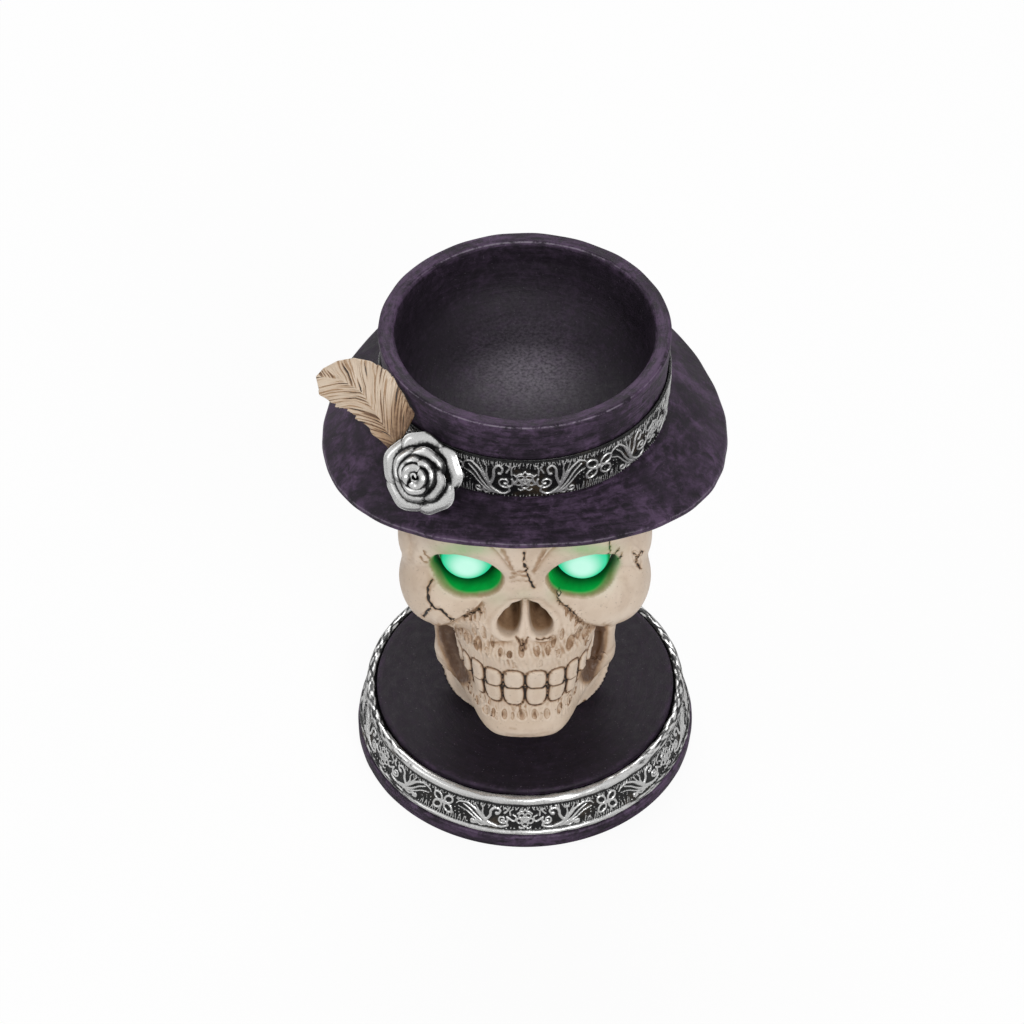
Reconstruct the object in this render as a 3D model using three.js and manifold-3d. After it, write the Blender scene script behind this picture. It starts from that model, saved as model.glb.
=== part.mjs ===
import * as THREE from "three";
import { mergeVertices } from "three/addons/utils/BufferGeometryUtils.js";
import Module from "manifold-3d";

// Skull candle holder. The origin is the middle of the foot plane, +Z is up, the face looks along -Y.
const wasm = await Module();
wasm.setup();

// Driving dimensions, in millimetres

const fit = { glue: 0.3, running: 0.4, overrun: 3, weld: 0.001 };

const foot = { radius: 6, stand: 1, recess: 1.2, ringRadius: 58 };

const plinth = {
  flangeRadius: 72.3,
  flangeHeight: 6.6,
  flangeRound: 1.2,
  coreRadius: 62.3,
  discRadius: 63.6,
  discThickness: 2.9,
  discRound: 1.6,
  height: 26.5,
};

const trim = {
  lowerBead: 1.3,
  lowerBeadRadius: 70.2,
  lowerFaceRadius: 69.9,
  upperFaceRadius: 66.9,
  upperBead: 2.2,
};

const neck = {
  footRadius: 36.2,
  shaftRadius: 25,
  topRadius: 21,
  flareHeight: 16,
  strand: 0.7,
  strandPitch: 4,
  knob: [8.5, 7, 5.2],
  knobReach: 27,
  knobSetback: 0,
  knobRise: 14,
  insertion: 18,
  setback: 12,
  ridge: 1.3,
  ridgePitch: 11,
};

const skull = { width: 100, bite: 78.3, bore: 6 };

const tooth = { depth: 8, gap: 0.5, proud: 0.9 };

const brim = {
  seat: 4,
  thickness: 3,
  flatRadius: 57,
  edgeRadius: 81.3,
  edgeDrop: 9.6,
  edgeWave: 9.2,
  skirtRadius: 48,
};

// How the brim's drop grows with its reach, and the neck's flare towards its foot, as powers
const brimDropPower = 1.35;
const flarePower = 1.8;

const hat = {
  crownHeight: 38,
  footRadius: 55.3,
  shoulderRadius: 56.3,
  rimRadius: 57.5,
  openingRadius: 51.1,
  floorThickness: 4,
  floorRadius: 31,
  bowlRadius: 50.2,
  bowlCorner: 18,
  spigotRadius: 30.6,
  spigotWall: 3,
  spigotLength: 8,
};

const band = { height: 20.3, lift: 0.3, thickness: 1.5, bead: 0.5, ground: 0.7 };

// Raised ornament of the ring and the band
const relief = { flowers: 12, stroke: 1, rise: 0.8, root: 0.5, flower: 3.6 };

const rose = {
  radius: 15.2,
  depth: 7,
  petalThickness: 1.7,
  standOff: 7.5,
  rise: 10,
  azimuth: 37.6,
  lean: 60,
};

const feather = { length: 43.5, thickness: 1.8, bow: 4.5, azimuth: 48.8, standOff: 5.7, rise: 11 };

const eye = { radius: 11.5, shell: 1.2 };

const cup = { radius: 12.2, wall: 1.2, length: 20, wireHole: 1.3 };

const led = { radius: 2.5, flangeRadius: 2.9, flange: 1, length: 8.6 };

const lead = { radius: 0.8, spread: 2.5, bend: 3, channel: 5 };

const cell = { radius: 5.25, length: 44.5, nubRadius: 1.9, nub: 1 };

const box = {
  wall: 1.6,
  roof: 1.6,
  flange: 3.4,
  flangeWide: 7,
  flangeEnds: 3,
  boss: 6.4,
  springRoom: 3.4,
  electronics: 12,
};

const contact = { thickness: 0.5, coilRadius: 3, coilTip: 1.6, height: 9 };

const door = { thickness: 2, barrel: 1.1, pin: 0.9, pinLength: 1.6, ledge: 1.1 };

const screw = { shank: 1.1, head: 2.3, headHeight: 1.2, engaged: 5, slot: 0.6 };

const board = { thickness: 1.2, length: 26, width: 9 };

const toggle = { length: 8.6, width: 4, height: 3.6, stem: 1.6, reach: 0.5, travel: 1.5 };

// Numbers of facets
const facets = { large: 36, ring: 20, small: 12, petals: 8, arc: 3, skullAround: 38, skullAlong: 24, leadSteps: 24 };

// Skull forms, as shares of the skull's width: x and y from the axis, z from the bite plane, one side
const skullShares = [
  { centre: [0, 0.05, 0.73], radii: [0.515, 0.56, 0.5], blend: 0 },
  { centre: [0, -0.14, 0.82], radii: [0.46, 0.38, 0.28], blend: 0.12 },
  { centre: [0, 0.13, 0.2], radii: [0.3, 0.3, 0.19], blend: 0.12 },
  { from: [0.06, -0.465, 0.765], to: [0.2, -0.47, 0.845], radii: [0.05, 0.05], blend: 0.1 },
  { from: [0.2, -0.47, 0.845], to: [0.3, -0.43, 0.835], radii: [0.05, 0.055], blend: 0.1 },
  { from: [0.3, -0.43, 0.835], to: [0.4, -0.34, 0.66], radii: [0.055, 0.075], blend: 0.1 },
  { from: [0.41, -0.28, 0.69], to: [0.4, -0.28, 0.46], radii: [0.07, 0.085], blend: 0.12 },
  { from: [0.15, -0.43, 0.53], to: [0.31, -0.4, 0.45], radii: [0.05, 0.085], blend: 0.1 },
  { centre: [0.34, -0.305, 0.385], radii: [0.155, 0.155, 0.165], blend: 0.1 },
  { centre: [0.22, -0.38, 0.39], radii: [0.14, 0.095, 0.115], blend: 0.08 },
  { from: [0.42, -0.18, 0.4], to: [0.46, 0.12, 0.44], radii: [0.07, 0.06], blend: 0.08 },
  { from: [0, -0.41, 0.75], to: [0, -0.475, 0.57], radii: [0.075, 0.05], blend: 0.08 },
  { from: [0.07, -0.46, 0.56], to: [0.14, -0.44, 0.33], radii: [0.04, 0.05], blend: 0.08 },
  { centre: [0, -0.26, 0.24], radii: [0.275, 0.265, 0.24], blend: 0.08 },
  { arch: [0.275, 0.315], back: -0.205, low: -0.03, high: 0.19, taper: 0, edge: 0.02, blend: 0.1 },
  { from: [0.41, 0.12, 0.36], to: [0.37, 0.08, 0.14], radii: [0.1, 0.07], blend: 0.12 },
  { from: [0.33, -0.06, -0.03], to: [0.355, -0.03, 0.27], radii: [0.06, 0.055], blend: 0.06 },
  { from: [0.32, -0.14, -0.03], to: [0.35, -0.14, 0.22], radii: [0.06, 0.05], blend: 0.06 },
];
const jawShares = [
  { from: [0, -0.435, -0.27], to: [0.075, -0.42, -0.265], radii: [0.075, 0.07], blend: 0 },
  { from: [0.07, -0.415, -0.265], to: [0.3, -0.14, -0.19], radii: [0.07, 0.065], blend: 0.09 },
  { arch: [0.272, 0.305], back: -0.2, low: -0.26, high: 0.03, taper: 0.72, edge: 0.03, blend: 0.09 },
  { from: [0.3, -0.08, -0.21], to: [0.325, -0.06, 0.03], radii: [0.06, 0.06], blend: 0.06 },
  { from: [0.305, -0.15, -0.14], to: [0.315, -0.14, 0.03], radii: [0.06, 0.06], blend: 0.06 },
  { centre: [0.325, -0.06, -0.28], radii: [0.035, 0.05, 0.04], blend: 0.03 },
];
const hollowShares = [
  { centre: [0.245, -0.46, 0.636], radii: [0.15, 0.2, 0.125] },
  { centre: [0.067, -0.5, 0.36], radii: [0.046, 0.16, 0.064] },
  { centre: [0.055, -0.5, 0.39], radii: [0.04, 0.16, 0.06] },
  { centre: [0.037, -0.5, 0.432], radii: [0.022, 0.16, 0.05] },
];
const cavityShares = { centre: [0, 0.11, 0.7], radii: [0.42, 0.37, 0.38] };
const crownShare = 1.097;
const skullHeartShares = [0, -0.02, 0.5];
const jawHeartShares = [0, -0.16, -0.14];
const eyeShares = [0.228, -0.36, 0.645];
const upperToothShares = { widths: [0.091, 0.079, 0.07, 0.065, 0.065], height: 0.12 };
const lowerToothShares = { widths: [0.099, 0.086, 0.07, 0.06, 0.06], height: 0.11 };
// The feather's outline as shares of its length, along and across its plane, and that plane's directions
const featherOutlineShares = [
  [0, 0],
  [0.06, 0.13],
  [0.04, 0.32],
  [0.13, 0.43],
  [0.29, 0.49],
  [0.44, 0.5],
  [0.58, 0.48],
  [0.73, 0.43],
  [0.86, 0.34],
  [0.95, 0.22],
  [1, 0.09],
  [1, 0],
  [0.87, -0.085],
  [0.74, -0.085],
  [0.58, -0.03],
  [0.34, -0.03],
  [0.13, -0.05],
  [0.05, -0.06],
];
const featherAlongShares = [-0.743, 0.437, 0.506];
const featherAcrossShares = [0.614, 0.144, 0.776];
// How far the feather's curl turns over along its length
const featherCurlShare = 2.6;
// Rings of rose petals: place and width as shares of its radius, rise as a share of its depth
const petalShares = [
  { count: 5, ring: 0.5, width: 0.55, rise: 0.1, tilt: -11 },
  { count: 4, ring: 0.34, width: 0.42, rise: 0.5, tilt: -29 },
  { count: 3, ring: 0.16, width: 0.28, rise: 0.9, tilt: -46 },
];
// Strokes of the ornament between two flowers: shares of the way to the next and of the height
const strokeShares = [
  [[0.343, 0.12], [0.53, 0.44], [0.7, 0.8]],
  [[0.5, 0.46], [0.34, 0.8]],
  [[0.15, 0.36], [0.343, 0.12]],
];
const flowerShares = [0.44, 0.5];
const archPowerShare = 2.6;
const leastArchShare = 0.1;
const archClosingShare = 0.25;
const faceCrowdingShare = 0.3;
const leadShares = [
  [0.08, 0.06, 0.42],
  [0.18, 0.01, 0.56],
];

// Heights that the pieces share

const plinthTop = foot.stand + plinth.height;
const flangeTop = foot.stand + plinth.flangeHeight;
const crownSeat = skull.bite + crownShare * skull.width;
const brimTop = crownSeat + brim.seat;
const bandFoot = brimTop + band.lift;
const rimHeight = brimTop + hat.crownHeight;
const bayWidth = 3 * (2 * cell.radius + fit.glue) + fit.glue;
const bayDepth = 2 * (cell.radius + fit.glue);
const bayLength = cell.length + box.springRoom + fit.glue;
const cellRoom = (bayLength - cell.length) / 2;
const boxTop = foot.stand + box.flange + bayDepth + box.roof;
const boxLength = bayLength + box.electronics + box.boss + 2 * box.wall;
const bayStart = -boxLength / 2 + box.wall;
const bossStart = bayStart + bayLength;
const electronicsStart = bossStart + box.boss;
const screwPlace = bossStart + box.boss / 2;
const doorWidth = bayWidth + 2 * door.ledge;
const hingeY = bayStart - door.barrel / 2;
const hingeZ = foot.stand + box.flange / 2;
const doorEnd = bossStart + box.boss - fit.running;

// Finishes read from the photograph

const finishes = {
  bone: { color: 0xd9c6a8, roughness: 0.72, metalness: 0 },
  hatResin: { color: 0x2b2430, roughness: 0.55, metalness: 0 },
  silver: { color: 0x8f8f8c, roughness: 0.42, metalness: 0.6 },
  feather: { color: 0xc9b694, roughness: 0.75, metalness: 0 },
  mint: { color: 0x7dffc9, roughness: 0.3, metalness: 0 },
  white: { color: 0xe8e8e2, roughness: 0.5, metalness: 0 },
  blackPlastic: { color: 0x1c1c1e, roughness: 0.6, metalness: 0 },
  rubber: { color: 0x151515, roughness: 0.9, metalness: 0 },
  steel: { color: 0xb9bcc0, roughness: 0.35, metalness: 0.9 },
  cellJacket: { color: 0x3c4a5c, roughness: 0.4, metalness: 0.2 },
  greenBoard: { color: 0x1f5a35, roughness: 0.5, metalness: 0 },
  redWire: { color: 0x9c2a24, roughness: 0.5, metalness: 0 },
};

// Solids and their joins

function solid(geometry) {
  const plain = geometry.index ? geometry.toNonIndexed() : geometry;
  const bare = new THREE.BufferGeometry();
  bare.setAttribute("position", plain.getAttribute("position"));
  const merged = mergeVertices(bare, fit.weld);
  return new wasm.Manifold(
    new wasm.Mesh({
      numProp: 3,
      vertProperties: merged.attributes.position.array,
      triVerts: new Uint32Array(merged.index.array),
    }),
  );
}

function geometryOf(body) {
  const mesh = body.getMesh();
  const geometry = new THREE.BufferGeometry();
  geometry.setAttribute("position", new THREE.BufferAttribute(mesh.vertProperties, mesh.numProp));
  geometry.setIndex(new THREE.BufferAttribute(mesh.triVerts, 1));
  geometry.computeVertexNormals();
  return geometry;
}

function cut(body, ...tools) {
  return tools.reduce((left, tool) => left.subtract(solid(tool)), body);
}

function join(body, ...others) {
  return others.reduce((whole, other) => whole.add(solid(other)), body);
}

// A box that stands on z, centred on x and y
function block(width, depth, height, x, y, z) {
  return new THREE.BoxGeometry(width, depth, height).translate(x, y, z + height / 2);
}

// An upright rod that stands on z
function rod(radius, height, x, y, z, sides = facets.small) {
  const rise = height / 2;
  return new THREE.CylinderGeometry(radius, radius, height, sides).rotateX(Math.PI / 2).translate(x, y, z + rise);
}

// A profile of radius and height turned about the Z axis
function turned(profile, sides = facets.large) {
  const points = profile.map(([radius, height]) => new THREE.Vector2(radius, height));
  return new THREE.LatheGeometry(points, sides).rotateX(Math.PI / 2);
}

// Points of an elliptic arc in a profile, angles in degrees
function arc(x, y, radiusX, radiusY, start, end, steps = facets.arc) {
  return Array.from({ length: steps + 1 }, (_, i) => {
    const angle = THREE.MathUtils.degToRad(start + ((end - start) * i) / steps);
    return [x + radiusX * Math.cos(angle), y + radiusY * Math.sin(angle)];
  });
}

function ellipsoid(centre, radii, around = facets.ring, along = facets.small) {
  return new THREE.SphereGeometry(1, around, along).scale(...radii).translate(...centre);
}

// Skull sculpture: a smooth union of balls, tapered bones and tooth arches

function ballDistance(p, { centre, radii }) {
  const q = p.map((value, i) => (value - centre[i]) / radii[i]);
  const near = Math.hypot(...q);
  const slope = Math.hypot(...q.map((value, i) => value / radii[i]));
  return slope === 0 ? -Math.min(...radii) : (near * (near - 1)) / slope;
}

function boneDistance(p, { from, to, radii }) {
  const along = to.map((value, i) => value - from[i]);
  const offset = p.map((value, i) => value - from[i]);
  const dot = offset.reduce((sum, value, i) => sum + value * along[i], 0);
  const share = THREE.MathUtils.clamp(dot / Math.hypot(...along) ** 2, 0, 1);
  const away = Math.hypot(...offset.map((value, i) => value - share * along[i]));
  return away - THREE.MathUtils.lerp(radii[0], radii[1], share);
}

function archDistance([x, y, z], { arch, back, low, high, taper, edge }) {
  const spread = Math.max(1 + taper * (z - high), leastArchShare);
  const across = x / (arch[0] * spread);
  const ahead = Math.max(back - y, 0) / arch[1];
  const ring = (across ** archPowerShare + ahead ** archPowerShare) ** (1 / archPowerShare);
  const side = (ring - 1) * Math.min(...arch);
  const level = Math.abs(z - (low + high) / 2) - (high - low) / 2;
  return smoothCut(smoothCut(side, level, edge), y - back - archClosingShare * arch[1], edge);
}

function smoothJoin(a, b, blend) {
  if (blend === 0) return Math.min(a, b);
  const share = THREE.MathUtils.clamp((1 + (b - a) / blend) / 2, 0, 1);
  return THREE.MathUtils.lerp(b, a, share) - blend * share * (1 - share);
}

function smoothCut(a, b, blend) {
  return -smoothJoin(-a, -b, blend);
}

function formDistance(point, forms) {
  const p = [Math.abs(point[0]), point[1], point[2]];
  return forms.reduce((distance, form) => {
    const measure = form.arch ? archDistance : form.from ? boneDistance : ballDistance;
    return smoothJoin(distance, measure(p, form), form.blend);
  }, Infinity);
}

// A sphere whose points are drawn in along their rays until they lie on the forms, crowded at the face
function sculpt(forms, heart, around, along) {
  const outside = 1;
  const nearEnough = 1e-4;
  const stepShare = 0.7;
  const geometry = new THREE.SphereGeometry(1, around, along).rotateX(Math.PI / 2);
  const place = geometry.attributes.position;
  for (let i = 0; i < place.count; i++) {
    const turn = Math.atan2(place.getX(i), -place.getY(i));
    const level = Math.hypot(place.getX(i), place.getY(i));
    const crowded = turn - faceCrowdingShare * Math.sin(turn);
    const ray = [level * Math.sin(crowded), -level * Math.cos(crowded), place.getZ(i)];
    let reach = outside;
    let distance = outside;
    while (distance > nearEnough && reach > 0) {
      const point = ray.map((value, axis) => heart[axis] + reach * value);
      distance = formDistance(point, forms);
      reach -= stepShare * Math.max(distance, nearEnough / 2);
    }
    place.setXYZ(i, ...ray.map((value, axis) => heart[axis] + reach * value));
  }
  return inSkullSize(geometry);
}

function inSkullSize(geometry) {
  return geometry.scale(skull.width, skull.width, skull.width).translate(0, 0, skull.bite);
}

function skullPoint(shares, side = 1) {
  const [x, y, z] = shares.map((share) => share * skull.width);
  return [side * x, y, z + skull.bite];
}

function hollow({ centre, radii }, side) {
  return ellipsoid(
    skullPoint(centre, side),
    radii.map((share) => share * skull.width),
  );
}

// Teeth stand side by side along the arch, one elliptic column each
function teeth(arch, shares, lowSide) {
  const height = shares.height * skull.width;
  const steps = 400;
  const outline = Array.from({ length: steps + 1 }, (_, i) => {
    const angle = ((i / steps) * Math.PI) / 2;
    const ring =
      (Math.sin(angle) / arch.arch[0]) ** archPowerShare + (Math.cos(angle) / arch.arch[1]) ** archPowerShare;
    const reach = ring ** (-1 / archPowerShare);
    return [reach * Math.sin(angle), arch.back - reach * Math.cos(angle)];
  });
  const columns = [];
  let walked = 0;
  let step = 0;
  let edge = 0;
  for (const width of shares.widths) {
    while (step < steps && walked < edge + width / 2) {
      step += 1;
      walked += Math.hypot(outline[step][0] - outline[step - 1][0], outline[step][1] - outline[step - 1][1]);
    }
    edge += width;
    const [x, y] = outline[step].map((share) => share * skull.width);
    const [ahead, behind] = [outline[Math.min(step + 1, steps)], outline[step - 1]];
    const yaw = Math.atan2(ahead[1] - behind[1], ahead[0] - behind[0]);
    const inward = tooth.depth / 2 - tooth.proud;
    const middle = lowSide ? skull.bite - height / 2 : skull.bite + height / 2;
    for (const side of [1, -1]) {
      const column = new THREE.CylinderGeometry(1, 1, height, 2 * facets.arc + 2).rotateX(Math.PI / 2);
      column.scale((width * skull.width - tooth.gap) / 2, tooth.depth / 2, 1).translate(0, inward, 0);
      column.rotateZ(side * yaw).translate(side * x, y, middle);
      columns.push(column);
    }
  }
  return columns;
}

// The neck flares over the base in strands, with a knob at each side and ridges above
function neckSolid(grow) {
  const top = skull.bite + neck.insertion + grow;
  const rise = top - plinthTop - neck.flareHeight;
  const ridges = Math.round(rise / neck.ridgePitch);
  const strands = Math.round(neck.flareHeight / neck.strandPitch);
  const profile = [[0, plinthTop]];
  for (let i = 0; i < 2 * strands; i++) {
    const share = i / (2 * strands);
    const radius = THREE.MathUtils.lerp(neck.shaftRadius, neck.footRadius, (1 - share) ** flarePower);
    const swell = i % 2 ? neck.strand : 0;
    profile.push([radius + swell + grow, plinthTop + share * neck.flareHeight]);
  }
  for (let i = 0; i <= 2 * ridges; i++) {
    const share = i / (2 * ridges);
    const swell = i % 2 ? neck.ridge : 0;
    const radius = THREE.MathUtils.lerp(neck.shaftRadius, neck.topRadius, share) + swell + grow;
    profile.push([radius, plinthTop + neck.flareHeight + share * rise]);
  }
  profile.push([0, top]);
  const radii = neck.knob.map((radius) => radius + grow);
  const knobs = [1, -1].map((side) => {
    const place = [side * neck.knobReach, neck.knobSetback, plinthTop + neck.knobRise];
    return ellipsoid(place, radii, facets.small, facets.petals);
  });
  return join(solid(turned(profile, facets.ring).translate(0, neck.setback, 0)), ...knobs);
}

function leadBore(low, high) {
  return rod(skull.bore, high - low, 0, neck.setback, low, facets.small);
}

// Base

function basePlinth() {
  const { flangeRadius, flangeRound, coreRadius, discRadius, discRound } = plinth;
  const body = solid(
    turned([
      [0, foot.stand],
      ...arc(flangeRadius - flangeRound, foot.stand + flangeRound, flangeRound, flangeRound, -90, 0, 2),
      ...arc(flangeRadius - flangeRound, flangeTop - flangeRound, flangeRound, flangeRound, 0, 90, 2),
      [coreRadius, flangeTop],
      [coreRadius, plinthTop - plinth.discThickness],
      [discRadius, plinthTop - plinth.discThickness],
      ...arc(discRadius - discRound, plinthTop - discRound, discRound, discRound, 0, 90, 3),
      [0, plinthTop],
    ]),
  );
  const flangeRoom = block(
    bayWidth + 2 * (box.wall + box.flangeWide + fit.glue),
    boxLength + 2 * (box.flangeEnds + fit.glue),
    box.flange + fit.overrun,
    0,
    0,
    foot.stand - fit.overrun,
  );
  const boxRoom = block(
    bayWidth + 2 * (box.wall + fit.glue),
    boxLength + 2 * fit.glue,
    boxTop - foot.stand + fit.glue + fit.overrun,
    0,
    0,
    foot.stand - fit.overrun,
  );
  const channelWidth = 2 * (lead.spread + lead.radius + fit.running);
  const channelEnd = electronicsStart + box.electronics / 2;
  const channel = block(
    channelWidth,
    channelEnd - neck.setback,
    lead.channel + fit.overrun,
    0,
    (channelEnd + neck.setback) / 2,
    boxTop + fit.glue - fit.overrun,
  );
  const bore = leadBore(boxTop, plinthTop + fit.overrun);
  const pilots = boxScrewPlaces().map(([x, y]) =>
    rod(screw.shank + fit.glue, screw.engaged + fit.glue + fit.overrun, x, y, foot.stand + box.flange - fit.overrun),
  );
  const padRooms = footPlaces().map(([x, y]) =>
    rod(foot.radius + fit.glue, foot.recess + fit.overrun, x, y, foot.stand - fit.overrun, facets.ring),
  );
  return cut(body, flangeRoom, boxRoom, channel, bore, ...pilots, ...padRooms);
}

function footPlaces() {
  return [45, 135, 225, 315].map((degrees) => {
    const angle = THREE.MathUtils.degToRad(degrees);
    return [foot.ringRadius * Math.cos(angle), foot.ringRadius * Math.sin(angle)];
  });
}

// Raised flowers and strokes round a tapered face, every other interval mirrored
function ornament({ low, high, foot, height }) {
  const at = (a, b) => {
    const angle = (2 * Math.PI * a) / relief.flowers;
    const radius = THREE.MathUtils.lerp(low, high, b) + (relief.rise - relief.root) / 2;
    return new THREE.Vector3(radius * Math.sin(angle), -radius * Math.cos(angle), foot + b * height);
  };
  const depth = relief.rise + relief.root;
  const pieces = [];
  for (let i = 0; i < relief.flowers; i++) {
    const odd = i % 2;
    const flower = new THREE.CylinderGeometry(relief.flower, relief.flower, depth, facets.petals);
    const centre = at(i, flowerShares[odd]);
    pieces.push(flower.applyMatrix4(facing(centre, new THREE.Vector3(0, 0, 1))).translate(...centre));
    for (const stroke of strokeShares) {
      for (let j = 1; j < stroke.length; j++) {
        const [start, end] = [stroke[j - 1], stroke[j]].map(([a, b]) => at(odd ? i + 1 - a : i + a, b));
        const middle = start.clone().add(end).divideScalar(2);
        const along = end.clone().sub(start);
        const bar = new THREE.BoxGeometry(relief.stroke, depth, along.length() + relief.stroke);
        pieces.push(bar.applyMatrix4(facing(middle, along.normalize())).translate(...middle));
      }
    }
  }
  return pieces;
}

// Turns Y outwards from the axis at a place and Z along a direction
function facing(place, along) {
  const outward = new THREE.Vector3(place.x, place.y, 0).normalize();
  const across = new THREE.Vector3().crossVectors(outward, along).normalize();
  const squared = new THREE.Vector3().crossVectors(across, along).negate().normalize();
  return new THREE.Matrix4().makeBasis(across, squared, along);
}

function trimRing() {
  const inner = plinth.coreRadius + fit.glue;
  const beadRadius = plinth.discRadius + fit.glue + trim.upperBead;
  const beadHeight = plinthTop - plinth.discThickness - fit.glue;
  return solid(
    turned([
      [inner, flangeTop],
      [trim.lowerBeadRadius, flangeTop],
      ...arc(trim.lowerBeadRadius, flangeTop + trim.lowerBead, trim.lowerBead, trim.lowerBead, -60, 60),
      [trim.lowerFaceRadius, flangeTop + 2 * trim.lowerBead],
      [trim.upperFaceRadius, beadHeight - trim.upperBead],
      ...arc(beadRadius, beadHeight, trim.upperBead, trim.upperBead, -45, 180, 5),
      [inner, beadHeight],
      [inner, flangeTop],
    ]),
  );
}

// Battery box, its door and what they hold

function boxScrewPlaces() {
  const x = bayWidth / 2 + box.wall + box.flangeWide / 2;
  const y = boxLength / 2 - box.flangeWide;
  return [
    [x, y],
    [-x, y],
    [-x, -y],
    [x, -y],
  ];
}

function batteryBox() {
  const middle = (start, length) => start + length / 2;
  const width = bayWidth + 2 * box.wall;
  const flange = block(
    width + 2 * box.flangeWide,
    boxLength + 2 * box.flangeEnds,
    box.flange,
    0,
    0,
    foot.stand,
  );
  const body = join(solid(flange), block(width, boxLength, boxTop - foot.stand, 0, 0, foot.stand));
  const bay = block(
    bayWidth,
    bayLength,
    box.flange + bayDepth + fit.overrun,
    0,
    middle(bayStart, bayLength),
    foot.stand - fit.overrun,
  );
  const electronicsLength = box.electronics;
  const electronics = block(
    bayWidth,
    electronicsLength,
    boxTop - foot.stand - box.flange + fit.overrun,
    0,
    middle(electronicsStart, electronicsLength),
    foot.stand + box.flange,
  );
  const doorRoomStart = hingeY - door.thickness - fit.running;
  const doorRoom = block(
    doorWidth + 2 * fit.running,
    doorEnd + fit.running - doorRoomStart,
    door.thickness + fit.glue + fit.overrun,
    0,
    middle(doorRoomStart, doorEnd + fit.running - doorRoomStart),
    foot.stand - fit.overrun,
  );
  const barrelRoom = block(
    doorWidth + 2 * fit.running,
    bayStart - doorRoomStart + fit.running,
    box.flange + fit.overrun,
    0,
    middle(doorRoomStart, bayStart - doorRoomStart + fit.running),
    foot.stand - fit.overrun,
  );
  const pinRoom = new THREE.CylinderGeometry(
    door.pin + fit.running,
    door.pin + fit.running,
    doorWidth + 2 * (door.pinLength + 2 * fit.running),
    facets.small,
  );
  pinRoom.rotateZ(Math.PI / 2).translate(0, hingeY, hingeZ);
  const bossHole = rod(
    screw.shank + 2 * fit.running,
    screw.engaged + screw.headHeight + fit.glue + fit.overrun,
    0,
    screwPlace,
    foot.stand,
  );
  const slot = block(
    2 * (toggle.travel + fit.running) + toggle.stem,
    toggle.stem + 2 * fit.running,
    box.flange + 2 * fit.overrun,
    0,
    middle(electronicsStart, electronicsLength),
    foot.stand - fit.overrun,
  );
  const screwHoles = boxScrewPlaces().map(([x, y]) =>
    rod(screw.shank + fit.glue, box.flange + 2 * fit.overrun, x, y, foot.stand - fit.overrun),
  );
  const headRooms = boxScrewPlaces().map(([x, y]) =>
    rod(screw.head + fit.glue, screw.headHeight + fit.glue + fit.overrun, x, y, foot.stand - fit.overrun),
  );
  return cut(
    body,
    bay,
    electronics,
    doorRoom,
    barrelRoom,
    pinRoom,
    bossHole,
    slot,
    ...screwHoles,
    ...headRooms,
  );
}

function batteryDoor() {
  const plateLength = doorEnd - hingeY;
  const plate = block(doorWidth, plateLength, door.thickness, 0, hingeY + plateLength / 2, foot.stand);
  const barrel = new THREE.CylinderGeometry(door.barrel, door.barrel, doorWidth, facets.small);
  const pin = new THREE.CylinderGeometry(door.pin, door.pin, doorWidth + 2 * door.pinLength, facets.small);
  for (const turnedPiece of [barrel, pin]) turnedPiece.rotateZ(Math.PI / 2).translate(0, hingeY, hingeZ);
  const hole = rod(screw.shank + fit.glue, box.flange + 2 * fit.overrun, 0, screwPlace, foot.stand - fit.overrun);
  const headRoom = rod(
    screw.head + fit.glue,
    screw.headHeight + fit.glue + fit.overrun,
    0,
    screwPlace,
    foot.stand - fit.overrun,
  );
  const pulls = [1, -1].map((side) => {
    const pullHeight = door.thickness / 2 + fit.overrun;
    const x = (side * doorWidth) / 3;
    return block(doorWidth / 6, door.thickness, pullHeight, x, doorEnd, foot.stand - fit.overrun);
  });
  return cut(join(solid(plate), barrel, pin), hole, headRoom, ...pulls);
}

// A pan-head screw with its head down, its head's face a glue gap inside the underside
function panScrew(x, y, engaged) {
  const low = foot.stand + fit.glue / 2;
  const reach = box.flange - screw.headHeight + engaged - fit.glue / 2;
  const body = join(
    solid(rod(screw.head, screw.headHeight, x, y, low)),
    rod(screw.shank, screw.headHeight + reach, x, y, low),
  );
  const slotDepth = screw.headHeight / 2;
  return cut(body, block(3 * screw.head, screw.slot, slotDepth + fit.overrun, x, y, low - fit.overrun));
}

function cellSolid(index) {
  const x = (index - 1) * (2 * cell.radius + fit.glue);
  const barrelLength = cell.length - cell.nub;
  const facing = index % 2 ? -1 : 1;
  const start = bayStart + cellRoom;
  const profile = [
    [0, 0],
    [cell.radius, 0],
    [cell.radius, barrelLength],
    [cell.nubRadius, barrelLength],
    [cell.nubRadius, cell.length],
    [0, cell.length],
  ];
  const upright = turned(profile, facets.small).translate(0, 0, -cell.length / 2);
  const lying = upright.rotateX((-facing * Math.PI) / 2);
  const z = foot.stand + box.flange + cell.radius + fit.glue;
  return solid(lying.translate(x, start + cell.length / 2, z));
}

// A contact strip across the bay with a low coil against each cell
function contactStrip(y, towards) {
  const z = foot.stand + box.flange + (bayDepth - contact.height) / 2;
  const strip = solid(block(bayWidth - 2 * fit.glue, contact.thickness, contact.height, 0, y, z));
  const coilLength = cellRoom - (contact.thickness + fit.glue) / 2 - fit.glue;
  const coils = [-1, 0, 1].map((place) => {
    const coil = new THREE.CylinderGeometry(contact.coilTip, contact.coilRadius, coilLength, facets.small);
    if (towards < 0) coil.rotateX(Math.PI);
    const cellZ = foot.stand + box.flange + cell.radius + fit.glue;
    return coil.translate(place * (2 * cell.radius + fit.glue), y + (towards * coilLength) / 2, cellZ);
  });
  return join(strip, ...coils);
}

function circuitBoard() {
  const z = foot.stand + box.flange + fit.glue + toggle.height;
  return solid(block(board.length, board.width, board.thickness, 0, electronicsStart + box.electronics / 2, z));
}

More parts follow.
